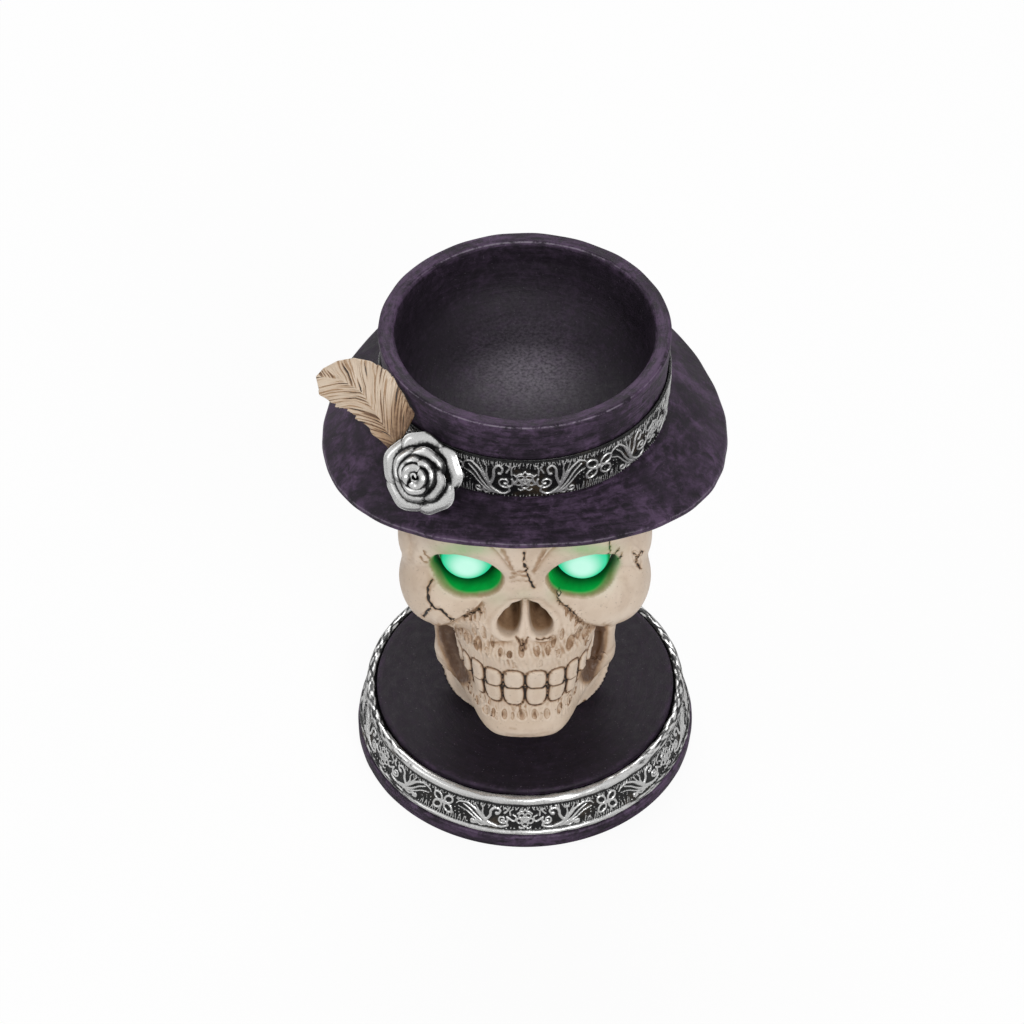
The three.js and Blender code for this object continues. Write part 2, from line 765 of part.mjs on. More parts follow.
function switchBody() {
  const y = electronicsStart + box.electronics / 2;
  const z = foot.stand + box.flange + fit.glue;
  const body = solid(block(toggle.length, toggle.width, toggle.height, 0, y, z));
  const room = block(
    2 * (toggle.travel + fit.running) + toggle.stem,
    toggle.stem + 2 * fit.running,
    toggle.height / 2 + fit.overrun,
    0,
    y,
    z - fit.overrun,
  );
  return cut(body, room);
}

function switchSlider() {
  const y = electronicsStart + box.electronics / 2;
  const low = foot.stand + toggle.reach;
  const high = foot.stand + box.flange + toggle.height / 2;
  return solid(block(toggle.stem, toggle.stem, high - low, 0, y, low));
}

function leadSolid(side) {
  const y = electronicsStart + box.electronics / 2;
  const x = side * lead.spread;
  const boardTop = foot.stand + box.flange + fit.glue + toggle.height + board.thickness;
  const run = boxTop + fit.glue + lead.channel / 2;
  const [eyeX, eyeY, eyeZ] = skullPoint(eyeShares, side);
  const cavityFloor = skullPoint(cavityShares.centre)[2] - cavityShares.radii[2] * skull.width;
  const backOfLed = eyeY + cup.length - cup.wall + fit.glue;
  const points = [
    [x, y, boardTop + fit.glue],
    [x, y, run - 2 * lead.bend],
    [x, y - lead.bend, run],
    [x, neck.setback + lead.bend, run],
    [x, neck.setback, run + 2 * lead.bend],
    [x, neck.setback, skull.bite],
    [x, neck.setback, cavityFloor],
    ...leadShares.map((shares) => skullPoint(shares, side)),
    [eyeX, backOfLed + 3 * cup.wall, eyeZ],
    [eyeX, backOfLed, eyeZ],
  ];
  const path = new THREE.CatmullRomCurve3(points.map((point) => new THREE.Vector3(...point)), false, "centripetal");
  const section = new THREE.Shape();
  section.absarc(0, 0, lead.radius, 0, 2 * Math.PI);
  const options = { steps: facets.leadSteps, curveSegments: 3, extrudePath: path };
  return solid(new THREE.ExtrudeGeometry(section, options));
}

// Skull, jaw and neck

function skullSolid() {
  const around = facets.skullAround;
  const whole = solid(sculpt(skullShares, skullHeartShares, around, facets.skullAlong));
  const arch = skullShares.find((form) => form.arch);
  const toothed = join(whole, ...teeth(arch, upperToothShares, false));
  const room = 2 * skull.width;
  const below = block(room, room, skull.width, 0, 0, skull.bite - skull.width);
  const above = block(room, room, skull.width, 0, 0, crownSeat);
  const mouth = rod(
    hat.spigotRadius + fit.glue,
    2 * hat.spigotLength + fit.overrun,
    0,
    0,
    crownSeat - 2 * hat.spigotLength,
    facets.large,
  );
  const hollows = [1, -1].flatMap((side) => hollowShares.map((form) => hollow(form, side)));
  const eyeRooms = [1, -1].map((side) => {
    const [x, y, z] = skullPoint(eyeShares, side);
    const ahead = eye.radius / 2;
    const reach = ahead + cup.length + fit.overrun;
    const radius = cup.radius + fit.glue;
    const sleeve = new THREE.CylinderGeometry(radius, radius, reach, facets.ring);
    return sleeve.translate(x, y - ahead + reach / 2, z);
  });
  const bore = leadBore(skull.bite, skullPoint(cavityShares.centre)[2]);
  return cut(toothed, below, above, mouth, hollow(cavityShares, 1), ...hollows, ...eyeRooms, bore).subtract(
    neckSolid(fit.glue),
  );
}

function lowerJaw() {
  const whole = solid(sculpt(jawShares, jawHeartShares, facets.large, facets.ring));
  const arch = jawShares.find((form) => form.arch);
  const toothed = join(whole, ...teeth(arch, lowerToothShares, true));
  const room = 2 * skull.width;
  const above = block(room, room, skull.width, 0, 0, skull.bite - fit.glue);
  return cut(toothed, above).subtract(neckSolid(fit.glue));
}

function neckColumn() {
  return cut(neckSolid(0), leadBore(plinthTop - fit.overrun, skull.bite + neck.insertion + fit.overrun));
}

// Eyes, built along the Y axis about the eye's centre and then placed

function placedEye(geometry, side) {
  return solid(geometry.rotateX(Math.PI / 2).translate(...skullPoint(eyeShares, side)));
}

function eyeDome(side) {
  const inner = eye.radius - eye.shell;
  const profile = [
    [inner, 0],
    ...arc(0, 0, eye.radius, eye.radius, 0, 90, facets.arc + 2),
    ...arc(0, 0, inner, inner, 90, 0, facets.arc + 2),
  ];
  return placedEye(turned(profile, facets.ring), side);
}

function ledCup(side) {
  const inner = cup.radius - cup.wall;
  const profile = [
    [cup.wireHole, -cup.length],
    [cup.radius, -cup.length],
    [cup.radius, 0],
    [eye.radius - eye.shell, 0],
    [inner - eye.shell, -eye.shell],
    [inner - eye.shell, -cup.length + cup.wall],
    [cup.wireHole, -cup.length + cup.wall],
    [cup.wireHole, -cup.length],
  ];
  return placedEye(turned(profile, facets.ring), side);
}

function ledSolid(side) {
  const back = -cup.length + cup.wall;
  const shoulder = back + led.length - led.radius;
  const profile = [
    [0, back],
    [led.flangeRadius, back],
    [led.flangeRadius, back + led.flange],
    [led.radius, back + led.flange],
    ...arc(0, shoulder, led.radius, led.radius, 0, 90, 3),
  ];
  return placedEye(turned(profile, facets.small), side);
}

// Hat

function brimDrop(x, y) {
  const radius = Math.hypot(x, y);
  const share = THREE.MathUtils.clamp((radius - brim.flatRadius) / (brim.edgeRadius - brim.flatRadius), 0, 1);
  const turn = Math.atan2(x, -y);
  return (brim.edgeWave * Math.cos(2 * turn) - brim.edgeDrop) * share ** brimDropPower;
}

function brimSolid() {
  const { edgeRadius, flatRadius, skirtRadius, thickness } = brim;
  const inner = hat.spigotRadius + fit.glue;
  const under = brimTop - thickness;
  const steps = 4;
  const radiusAt = (share) => THREE.MathUtils.lerp(flatRadius, edgeRadius - thickness / 2, share);
  const shares = Array.from({ length: steps + 1 }, (_, i) => i / steps);
  const profile = [
    [inner, crownSeat],
    [skirtRadius, crownSeat],
    ...shares.map((share) => [radiusAt(share), under]),
    ...arc(edgeRadius - thickness / 2, brimTop - thickness / 2, thickness / 2, thickness / 2, -45, 45, 2),
    ...shares.map((share) => [radiusAt(1 - share), brimTop]),
    [inner, brimTop],
    [inner, crownSeat],
  ];
  const geometry = turned(profile);
  const place = geometry.attributes.position;
  for (let i = 0; i < place.count; i++) {
    place.setZ(i, place.getZ(i) + brimDrop(place.getX(i), place.getY(i)));
  }
  return solid(geometry);
}

function crownSolid() {
  const rimRound = (hat.rimRadius - hat.openingRadius) / 2;
  const rimMiddle = hat.openingRadius + rimRound;
  const floor = brimTop + hat.floorThickness;
  const bandTop = bandFoot + band.height;
  const spigotFoot = brimTop - brim.seat - hat.spigotLength;
  return solid(
    turned([
      [0, brimTop],
      [hat.spigotRadius - hat.spigotWall, brimTop],
      [hat.spigotRadius - hat.spigotWall, spigotFoot],
      [hat.spigotRadius, spigotFoot],
      [hat.spigotRadius, brimTop],
      [hat.footRadius, brimTop],
      [hat.shoulderRadius, bandTop],
      [hat.rimRadius, rimHeight - rimRound],
      ...arc(rimMiddle, rimHeight - rimRound, rimRound, rimRound, 0, 180, 4).slice(1),
      ...arc(hat.floorRadius, floor + hat.bowlCorner, hat.bowlRadius - hat.floorRadius, hat.bowlCorner, 0, -90, 4),
      [0, floor],
    ]),
  );
}

function bandSolid() {
  const low = hat.footRadius + fit.glue;
  const high = hat.shoulderRadius + fit.glue;
  const top = bandFoot + band.height;
  const beadRise = 2 * band.bead;
  const height = band.height - 2 * beadRise;
  const ring = solid(
    turned([
      [low, bandFoot],
      [low + band.thickness, bandFoot],
      [low + band.thickness, bandFoot + beadRise],
      [low + band.ground, bandFoot + beadRise],
      [high + band.ground, top - beadRise],
      [high + band.thickness, top - beadRise],
      [high + band.thickness, top],
      [high, top],
      [low, bandFoot],
    ]),
  );
  const ground = { low: low + band.ground, high: high + band.ground, foot: bandFoot + beadRise, height };
  return join(ring, ...ornament(ground));
}

// Rose and feather

function bandFaceRadius() {
  return hat.shoulderRadius + fit.glue + band.thickness;
}

function rosePlace() {
  const angle = THREE.MathUtils.degToRad(rose.azimuth);
  const radius = bandFaceRadius() + rose.standOff;
  return new THREE.Vector3(-radius * Math.sin(angle), -radius * Math.cos(angle), brimTop + rose.rise);
}

function petal({ count, ring, width, rise, tilt }, index) {
  const geometry = new THREE.SphereGeometry(1, 2 * facets.arc + 2, facets.arc + 1);
  geometry.scale(width * rose.radius, width * rose.radius, rose.petalThickness);
  geometry.rotateY(THREE.MathUtils.degToRad(tilt)).translate(ring * rose.radius, 0, rise * rose.depth);
  return geometry.rotateZ((2 * Math.PI * (index + rise)) / count);
}

function roseSolid() {
  const turn = THREE.MathUtils.degToRad(rose.azimuth);
  const lean = THREE.MathUtils.degToRad(rose.lean);
  const petals = petalShares.flatMap((ring) => Array.from({ length: ring.count }, (_, i) => petal(ring, i)));
  const heart = ellipsoid([0, 0, 0], [rose.radius / 2, rose.radius / 2, rose.depth], facets.small);
  const place = rosePlace();
  const set = (geometry) => geometry.rotateX(lean).rotateZ(-turn).translate(...place);
  const flower = join(solid(set(heart)), ...petals.map(set));
  const wall = rod(bandFaceRadius() + fit.glue, rimHeight - crownSeat, 0, 0, crownSeat, facets.large);
  const brimRoom = brimSolid().translate([0, 0, fit.glue]);
  return cut(flower, wall).subtract(brimRoom).subtract(featherSolid(fit.glue));
}

// A curled plate behind the rose: its near side bows forward off the crown and its tip bows back
function featherSolid(grow) {
  const turn = THREE.MathUtils.degToRad(feather.azimuth);
  const radius = bandFaceRadius() + feather.standOff;
  const root = [-radius * Math.sin(turn), -radius * Math.cos(turn), brimTop + feather.rise];
  const middle = new THREE.Vector2(feather.length / 2, feather.length / 4);
  const points = featherOutlineShares.map(([along, across]) => {
    const point = new THREE.Vector2(along, across).multiplyScalar(feather.length);
    const outward = point.clone().sub(middle).normalize();
    return point.addScaledVector(outward, grow);
  });
  const depth = feather.thickness + 2 * grow;
  const options = { depth, bevelEnabled: false };
  const geometry = new THREE.ExtrudeGeometry(new THREE.Shape(points), options).translate(0, 0, -depth / 2);
  const place = geometry.attributes.position;
  for (let i = 0; i < place.count; i++) {
    const along = place.getX(i) / feather.length;
    const across = place.getY(i) / feather.length;
    place.setZ(i, place.getZ(i) - 2 * feather.bow * across * (1 - featherCurlShare * along));
  }
  const alongAxis = new THREE.Vector3(...featherAlongShares);
  const away = new THREE.Vector3().crossVectors(alongAxis, new THREE.Vector3(...featherAcrossShares)).normalize();
  const acrossAxis = new THREE.Vector3().crossVectors(away, alongAxis.normalize());
  const basis = new THREE.Matrix4().makeBasis(alongAxis, acrossAxis, away).setPosition(...root);
  return solid(geometry.applyMatrix4(basis));
}

function trimmedFeather() {
  const wall = rod(bandFaceRadius() + fit.glue, rimHeight - crownSeat, 0, 0, crownSeat, facets.large);
  return cut(featherSolid(0), wall);
}

// Assembly

const holder = new THREE.Group();
holder.name = "skull_candle_holder";

function piece(name, body, finish) {
  const mesh = new THREE.Mesh(geometryOf(body), new THREE.MeshStandardMaterial(finishes[finish]));
  mesh.name = name;
  holder.add(mesh);
}

const sides = { left: -1, right: 1 };

piece("base_plinth", basePlinth(), "hatResin");
piece("base_trim_ring", trimRing(), "silver");
footPlaces().forEach(([x, y], i) => {
  const height = foot.stand + foot.recess;
  piece(`foot_pad_${i + 1}`, solid(rod(foot.radius, height, x, y, 0, facets.ring)), "rubber");
});
piece("battery_box", batteryBox(), "blackPlastic");
boxScrewPlaces().forEach(([x, y], i) => piece(`box_screw_${i + 1}`, panScrew(x, y, screw.engaged), "steel"));
piece("battery_door", batteryDoor(), "blackPlastic");
piece("door_screw", panScrew(0, screwPlace, screw.engaged / 2), "steel");
[0, 1, 2].forEach((i) => piece(`aaa_cell_${i + 1}`, cellSolid(i), "cellJacket"));
piece("contact_strip_front", contactStrip(bayStart + contact.thickness / 2 + fit.glue / 2, 1), "steel");
piece("contact_strip_back", contactStrip(bossStart - contact.thickness / 2 - fit.glue / 2, -1), "steel");
piece("circuit_board", circuitBoard(), "greenBoard");
piece("switch_body", switchBody(), "white");
piece("switch_slider", switchSlider(), "blackPlastic");
piece("neck_column", neckColumn(), "bone");
piece("lower_jaw", lowerJaw(), "bone");
piece("skull", skullSolid(), "bone");
for (const [name, side] of Object.entries(sides)) {
  piece(`eye_dome_${name}`, eyeDome(side), "mint");
  piece(`led_cup_${name}`, ledCup(side), "white");
  piece(`eye_led_${name}`, ledSolid(side), "mint");
  piece(`led_lead_${name}`, leadSolid(side), "redWire");
}
piece("hat_brim", brimSolid(), "hatResin");
piece("hat_crown", crownSolid(), "hatResin");
piece("hat_band", bandSolid(), "silver");
piece("rose", roseSolid(), "silver");
piece("feather", trimmedFeather(), "feather");

export default holder;
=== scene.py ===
"""Dressed skull candle holder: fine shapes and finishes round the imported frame.

The sculptor works in millimetres and every finished mesh is in metres. The face looks along -Y.
"""

import logging
import math
from collections.abc import Callable, Iterator, Sequence
from contextlib import contextmanager
from dataclasses import dataclass, field
from enum import Enum

import bpy
import numpy as np
from mathutils import Matrix, Vector


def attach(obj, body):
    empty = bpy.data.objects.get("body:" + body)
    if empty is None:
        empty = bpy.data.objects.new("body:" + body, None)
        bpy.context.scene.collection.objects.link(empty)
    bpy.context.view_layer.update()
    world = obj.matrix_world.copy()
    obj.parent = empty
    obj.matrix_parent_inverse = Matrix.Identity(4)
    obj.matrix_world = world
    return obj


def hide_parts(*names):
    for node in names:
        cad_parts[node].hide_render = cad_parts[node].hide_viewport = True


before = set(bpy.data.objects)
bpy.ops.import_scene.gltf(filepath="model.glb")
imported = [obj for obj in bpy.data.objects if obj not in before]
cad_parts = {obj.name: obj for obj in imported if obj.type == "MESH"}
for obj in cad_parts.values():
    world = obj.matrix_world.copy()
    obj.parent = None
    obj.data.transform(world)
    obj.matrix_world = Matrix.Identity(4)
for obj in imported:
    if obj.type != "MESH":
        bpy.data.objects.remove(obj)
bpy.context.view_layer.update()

LOG = logging.getLogger("skull_candle_holder")

MM = 0.001
BITE = 78.3
CROWN_SEAT = 188.0
PLINTH_TOP = 27.5
FLANGE_TOP = 7.6
BRIM_TOP = 192.0
EYE = (22.8, -36.0, 142.8)
NECK_SETBACK = 12.0
BAND_CLEARANCE = 58.4
FULL_RELIEF = 0.8
STILL_BODY = "root"

Triple = tuple[float, float, float]
Pair = tuple[float, float]
Array = np.ndarray
Piece = bpy.types.Object
Socket = bpy.types.NodeSocket
Fed = Socket | float | Triple
Field = Callable[[Array], Array]
Pattern = Callable[[Array, Array], Array]


# Numbers and curves


def smooth(value: Array, low: float, high: float) -> Array:
    """Rises smoothly from 0 at low to 1 at high."""
    share = np.clip((value - low) / (high - low), 0.0, 1.0)
    return share * share * (3.0 - 2.0 * share)


def smooth_min(a: Array, b: Array, blend: float) -> Array:
    """The lesser of two distances, rounded where they meet."""
    if blend <= 0:
        return np.minimum(a, b)
    share = np.clip(0.5 + 0.5 * (b - a) / blend, 0.0, 1.0)
    return b + (a - b) * share - blend * share * (1.0 - share)


def smooth_max(a: Array, b: Array, blend: float) -> Array:
    """The greater of two distances, rounded where they meet."""
    return -smooth_min(-a, -b, blend)


def bell(value: Array, width: float | Array) -> Array:
    """A hump of 1 at 0 that fades over the width."""
    return np.exp(-((value / width) ** 2))


def line_height(x: Array, line: Sequence[Pair]) -> Array:
    """How high a line that runs to the right lies at each x."""
    stops = np.array(line, float)
    return np.interp(x, stops[:, 0], stops[:, 1])


def to_segment(points: Array, start: Array, end: Array) -> tuple[Array, Array]:
    """Where along a straight line each point is nearest, as a share, and how far off it is."""
    along = end - start
    offset = points - start
    share = np.clip(offset @ along / max(along @ along, 1e-9), 0.0, 1.0)
    return share, np.linalg.norm(offset - share[:, None] * along, axis=1)


def line_distance(points: Array, line: Sequence[Pair]) -> Array:
    """Distance from flat points to a broken line."""
    stops = np.array(line, float)
    nearest = np.full(len(points), np.inf)
    for start, end in zip(stops[:-1], stops[1:]):
        nearest = np.minimum(nearest, to_segment(points, start, end)[1])
    return nearest


def beside_line(points: Array, line: Sequence[Pair]) -> tuple[Array, Array]:
    """Signed distance from a broken line, positive above it as it runs to the right, and the way to its ends.

    Args:
        points: Flat points, with y downwards.
        line: The line's stops.

    Returns:
        The signed distance and the length along the line to its nearer end.
    """
    stops = np.array(line, float)
    nearest = np.full(len(points), np.inf)
    side = np.ones(len(points))
    place = np.zeros(len(points))
    total = np.linalg.norm(np.diff(stops, axis=0), axis=1).sum()
    walked = 0.0
    for start, end in zip(stops[:-1], stops[1:]):
        along = end - start
        share, away = to_segment(points, start, end)
        closer = away < nearest
        above = along[1] * (points[:, 0] - start[0]) - along[0] * (points[:, 1] - start[1])
        side = np.where(closer, np.where(above > 0, 1.0, -1.0), side)
        place = np.where(closer, walked + share * np.linalg.norm(along), place)
        nearest = np.minimum(nearest, away)
        walked += np.linalg.norm(along)
    return nearest * side, np.minimum(place, total - place)


def ripple(points: Array, size: float, seed: int) -> Array:
    """Smooth hand-made unevenness between about -1 and 1, the same each run.

    Args:
        points: Places, in millimetres.
        size: Rough size of a hump, in millimetres.
        seed: Which pattern of waves.

    Returns:
        One height for each point.
    """
    waves = np.random.default_rng(seed)
    total = np.zeros(len(points))
    count = 7
    for _ in range(count):
        direction = waves.normal(size=points.shape[1])
        direction /= np.linalg.norm(direction)
        pace = waves.uniform(0.6, 1.5) * math.tau / (2.2 * size)
        total += np.sin(pace * points @ direction + waves.uniform(0, math.tau))
    return total / math.sqrt(count)


# The camera's place


@dataclass(frozen=True)
class Viewpoint:
    """Where the camera stands and how its picture is laid out, in millimetres and frame pixels."""

    back: float = 1041.9
    height: float = 1164.95
    pitch: float = math.radians(44.86)
    focal: float = 3592.0
    frame_size: float = 1024.0
    axis_x: float = 525.0

    def seen(self, points: Array) -> Array:
        """Places points in the picture.

        Args:
            points: Places, in millimetres.

        Returns:
            Their columns and rows in the frame.
        """
        ahead = points[:, 1] + self.back
        above = points[:, 2] - self.height
        depth = ahead * math.cos(self.pitch) - above * math.sin(self.pitch)
        rise = ahead * math.sin(self.pitch) + above * math.cos(self.pitch)
        column = self.axis_x + self.focal * points[:, 0] / depth
        row = self.frame_size / 2 - self.focal * rise / depth
        return np.stack([column, row], axis=1)

    def build(self) -> Piece:
        """Makes the scene's camera."""
        data = bpy.data.cameras.new("studio_camera")
        data.sensor_width = 36.0
        data.lens = self.focal * data.sensor_width / self.frame_size
        data.shift_x = (self.frame_size / 2 - self.axis_x) / self.frame_size
        data.clip_start = 0.1
        data.clip_end = 20.0
        camera = bpy.data.objects.new("studio_camera", data)
        camera.location = (0.0, -self.back * MM, self.height * MM)
        camera.rotation_euler = (math.pi / 2 - self.pitch, 0.0, 0.0)
        bpy.context.scene.collection.objects.link(camera)
        bpy.context.scene.camera = camera
        return camera


VIEW = Viewpoint()


# Meshes


def deselect() -> None:
    """Leaves nothing selected, out of edit mode."""
    if bpy.context.mode != "OBJECT":
        bpy.ops.object.mode_set(mode="OBJECT")
    bpy.ops.object.select_all(action="DESELECT")


def pick(piece: Piece) -> None:
    """Makes a piece the only selected one."""
    deselect()
    piece.select_set(True)
    bpy.context.view_layer.objects.active = piece


@contextmanager
def editing(piece: Piece) -> Iterator[Piece]:
    """Edit mode on one piece with all of it selected."""
    pick(piece)
    bpy.ops.object.mode_set(mode="EDIT")
    bpy.ops.mesh.select_all(action="SELECT")
    yield piece
    bpy.ops.object.mode_set(mode="OBJECT")


def mesh_piece(name: str, points: Array, faces: Array | Sequence) -> Piece:
    """Makes a smooth-shaded piece.

    Args:
        name: The piece's name.
        points: Vertices, in millimetres.
        faces: Rows of vertex numbers.

    Returns:
        The piece, with its place in its mesh.
    """
    mesh = bpy.data.meshes.new(name)
    rows = faces.tolist() if isinstance(faces, Array) else faces
    mesh.from_pydata((np.asarray(points) * MM).tolist(), [], rows)
    mesh.polygons.foreach_set("use_smooth", [True] * len(mesh.polygons))
    mesh.update()
    piece = bpy.data.objects.new(name, mesh)
    bpy.context.scene.collection.objects.link(piece)
    return piece


def places(piece: Piece) -> Array:
    """A piece's vertices, in millimetres."""
    flat = np.empty(3 * len(piece.data.vertices))
    piece.data.vertices.foreach_get("co", flat)
    return flat.reshape(-1, 3) / MM


def move_to(piece: Piece, points: Array) -> None:
    """Puts a piece's vertices at new places, in millimetres."""
    piece.data.vertices.foreach_set("co", (points * MM).ravel())
    piece.data.update()


def paint(piece: Piece, name: str, values: Array) -> None:
    """Writes one number for each vertex as a named attribute."""
    layer = piece.data.attributes.new(name, "FLOAT", "POINT")
    layer.data.foreach_set("value", np.clip(values, 0.0, 1.0).astype(np.float32))


def normals_of(piece: Piece) -> Array:
    """A piece's vertex normals."""
    flat = np.empty(3 * len(piece.data.vertices), np.float32)
    piece.data.vertex_normals.foreach_get("vector", flat)
    return flat.reshape(-1, 3).astype(float)


def hollows_of(piece: Piece, rounds: int) -> Array:
    """How far each vertex lies below its surroundings, in millimetres, negative on ridges.

    Args:
        piece: The piece.
        rounds: How often the surroundings are smoothed, which sets their size.

    Returns:
        One depth for each vertex.
    """
    count = len(piece.data.vertices)
    pairs = np.empty(2 * len(piece.data.edges), np.int64)
    piece.data.edges.foreach_get("vertices", pairs)
    first, second = pairs[0::2], pairs[1::2]
    start = places(piece)
    around = start.copy()
    degree = np.maximum(np.bincount(pairs, minlength=count), 1)
    for _ in range(rounds):
        total = np.empty_like(around)
        for axis in range(3):
            total[:, axis] = np.bincount(first, around[second, axis], count)
            total[:, axis] += np.bincount(second, around[first, axis], count)
        around = 0.5 * around + 0.5 * total / degree[:, None]
    return np.einsum("ij,ij->i", around - start, normals_of(piece))


def join_pieces(name: str, parts: Sequence[Piece]) -> Piece:
    """Joins parts into one named piece."""
    deselect()
    for part in parts:
        part.select_set(True)
    bpy.context.view_layer.objects.active = parts[0]
    bpy.ops.object.join()
    parts[0].name = name
    parts[0].data.name = name
    return parts[0]


def apply_modifiers(piece: Piece) -> None:
    """Applies every modifier of a piece."""
    pick(piece)
    for modifier in list(piece.modifiers):
        bpy.ops.object.modifier_apply(modifier=modifier.name)


def settle(piece: Piece, name: str) -> Piece:
    """Names a piece and moves its place into its mesh."""
    pick(piece)
    bpy.ops.object.transform_apply(location=True, rotation=True, scale=True)
    piece.name = name
    piece.data.name = name
    return piece


def grid_faces(wide: int, tall: int) -> Array:
    """The faces of a grid of wide rows of tall points each."""
    rows = np.arange(wide * tall).reshape(wide, tall)
    return np.stack([rows[:-1, :-1], rows[1:, :-1], rows[1:, 1:], rows[:-1, 1:]], axis=-1).reshape(-1, 4)


def thicken(piece: Piece, thickness: float, offset: float, rounding: float) -> None:
    """Gives a sheet its wall and rounds the wall's edges.

    Args:
        piece: The sheet.
        thickness: The wall's thickness, in millimetres.
        offset: Side of the sheet that the wall stands on, -1 behind and 0 on both.
        rounding: Width of the rounded edge, in millimetres.
    """
    solid = piece.modifiers.new("skin", "SOLIDIFY")
    solid.thickness = thickness * MM
    solid.offset = offset
    round_off = piece.modifiers.new("round", "BEVEL")
    round_off.width = rounding * MM
    round_off.segments = 3
    round_off.limit_method = "ANGLE"
    apply_modifiers(piece)


def spun(name: str, profile: Sequence[Pair], steps: int, closed: bool = True) -> Piece:
    """Spins a profile of radius and height about the Z axis.

    Args:
        name: The piece's name.
        profile: Radius and height of each point, anticlockwise for an outward face.
        steps: Number of facets round the axis.
        closed: Whether the profile's last point joins its first.

    Returns:
        The spun piece with its normals outwards.
    """
    mesh = bpy.data.meshes.new(name)
    edges = [(i, i + 1) for i in range(len(profile) - 1)]
    if closed:
        edges.append((len(profile) - 1, 0))
    mesh.from_pydata([(r * MM, 0.0, z * MM) for r, z in profile], edges, [])
    piece = bpy.data.objects.new(name, mesh)
    bpy.context.scene.collection.objects.link(piece)
    with editing(piece):
        bpy.ops.mesh.spin(steps=steps, angle=math.tau, center=(0, 0, 0), axis=(0, 0, 1))
        bpy.ops.mesh.select_all(action="SELECT")
        bpy.ops.mesh.remove_doubles(threshold=1e-6)
        bpy.ops.mesh.normals_make_consistent(inside=False)
    piece.data.polygons.foreach_set("use_smooth", [True] * len(piece.data.polygons))
    return piece


def rounded_profile(corners: Sequence[tuple[float, float, float]], steps: int = 5) -> list[Pair]:
    """Rounds the corners of a profile.

    Args:
        corners: Radius, height and rounding of each corner.
        steps: Number of facets on each rounding.

    Returns:
        The profile's points.
    """
    result: list[Pair] = []
    count = len(corners)
    for i, (x, y, rounding) in enumerate(corners):
        here = Vector((x, y))
        if rounding <= 0:
            result.append((x, y))
            continue
        before = (Vector(corners[i - 1][:2]) - here).normalized()
        after = (Vector(corners[(i + 1) % count][:2]) - here).normalized()
        angle = before.angle(after)
        reach = rounding / math.tan(angle / 2)
        centre = here + (before + after).normalized() * rounding / math.sin(angle / 2)
        start = here + before * reach - centre
        end = here + after * reach - centre
        turn = start.angle_signed(end)
        for step in range(steps + 1):
            arm = start.copy()
            arm.rotate(Matrix.Rotation(-turn * step / steps, 2))
            result.append((centre.x + arm.x, centre.y + arm.y))
    return result


def arc(centre: Pair, radius: float, degrees: Pair, count: int) -> list[Pair]:
    """Points on an arc about a centre, from its first to its last angle."""
    turn = np.radians(np.linspace(*degrees, count))
    return [(centre[0] + radius * math.cos(a), centre[1] + radius * math.sin(a)) for a in turn]


def filled_profile(points: Sequence[Pair], spacing: float) -> list[Pair]:
    """Adds points to a profile where its edges are longer than the spacing."""
    result: list[Pair] = []
    for (x0, y0), (x1, y1) in zip(points, [*points[1:], points[0]]):
        count = max(1, math.ceil(math.hypot(x1 - x0, y1 - y0) / spacing))
        result += [(x0 + (x1 - x0) * i / count, y0 + (y1 - y0) * i / count) for i in range(count)]
    return result


# Materials


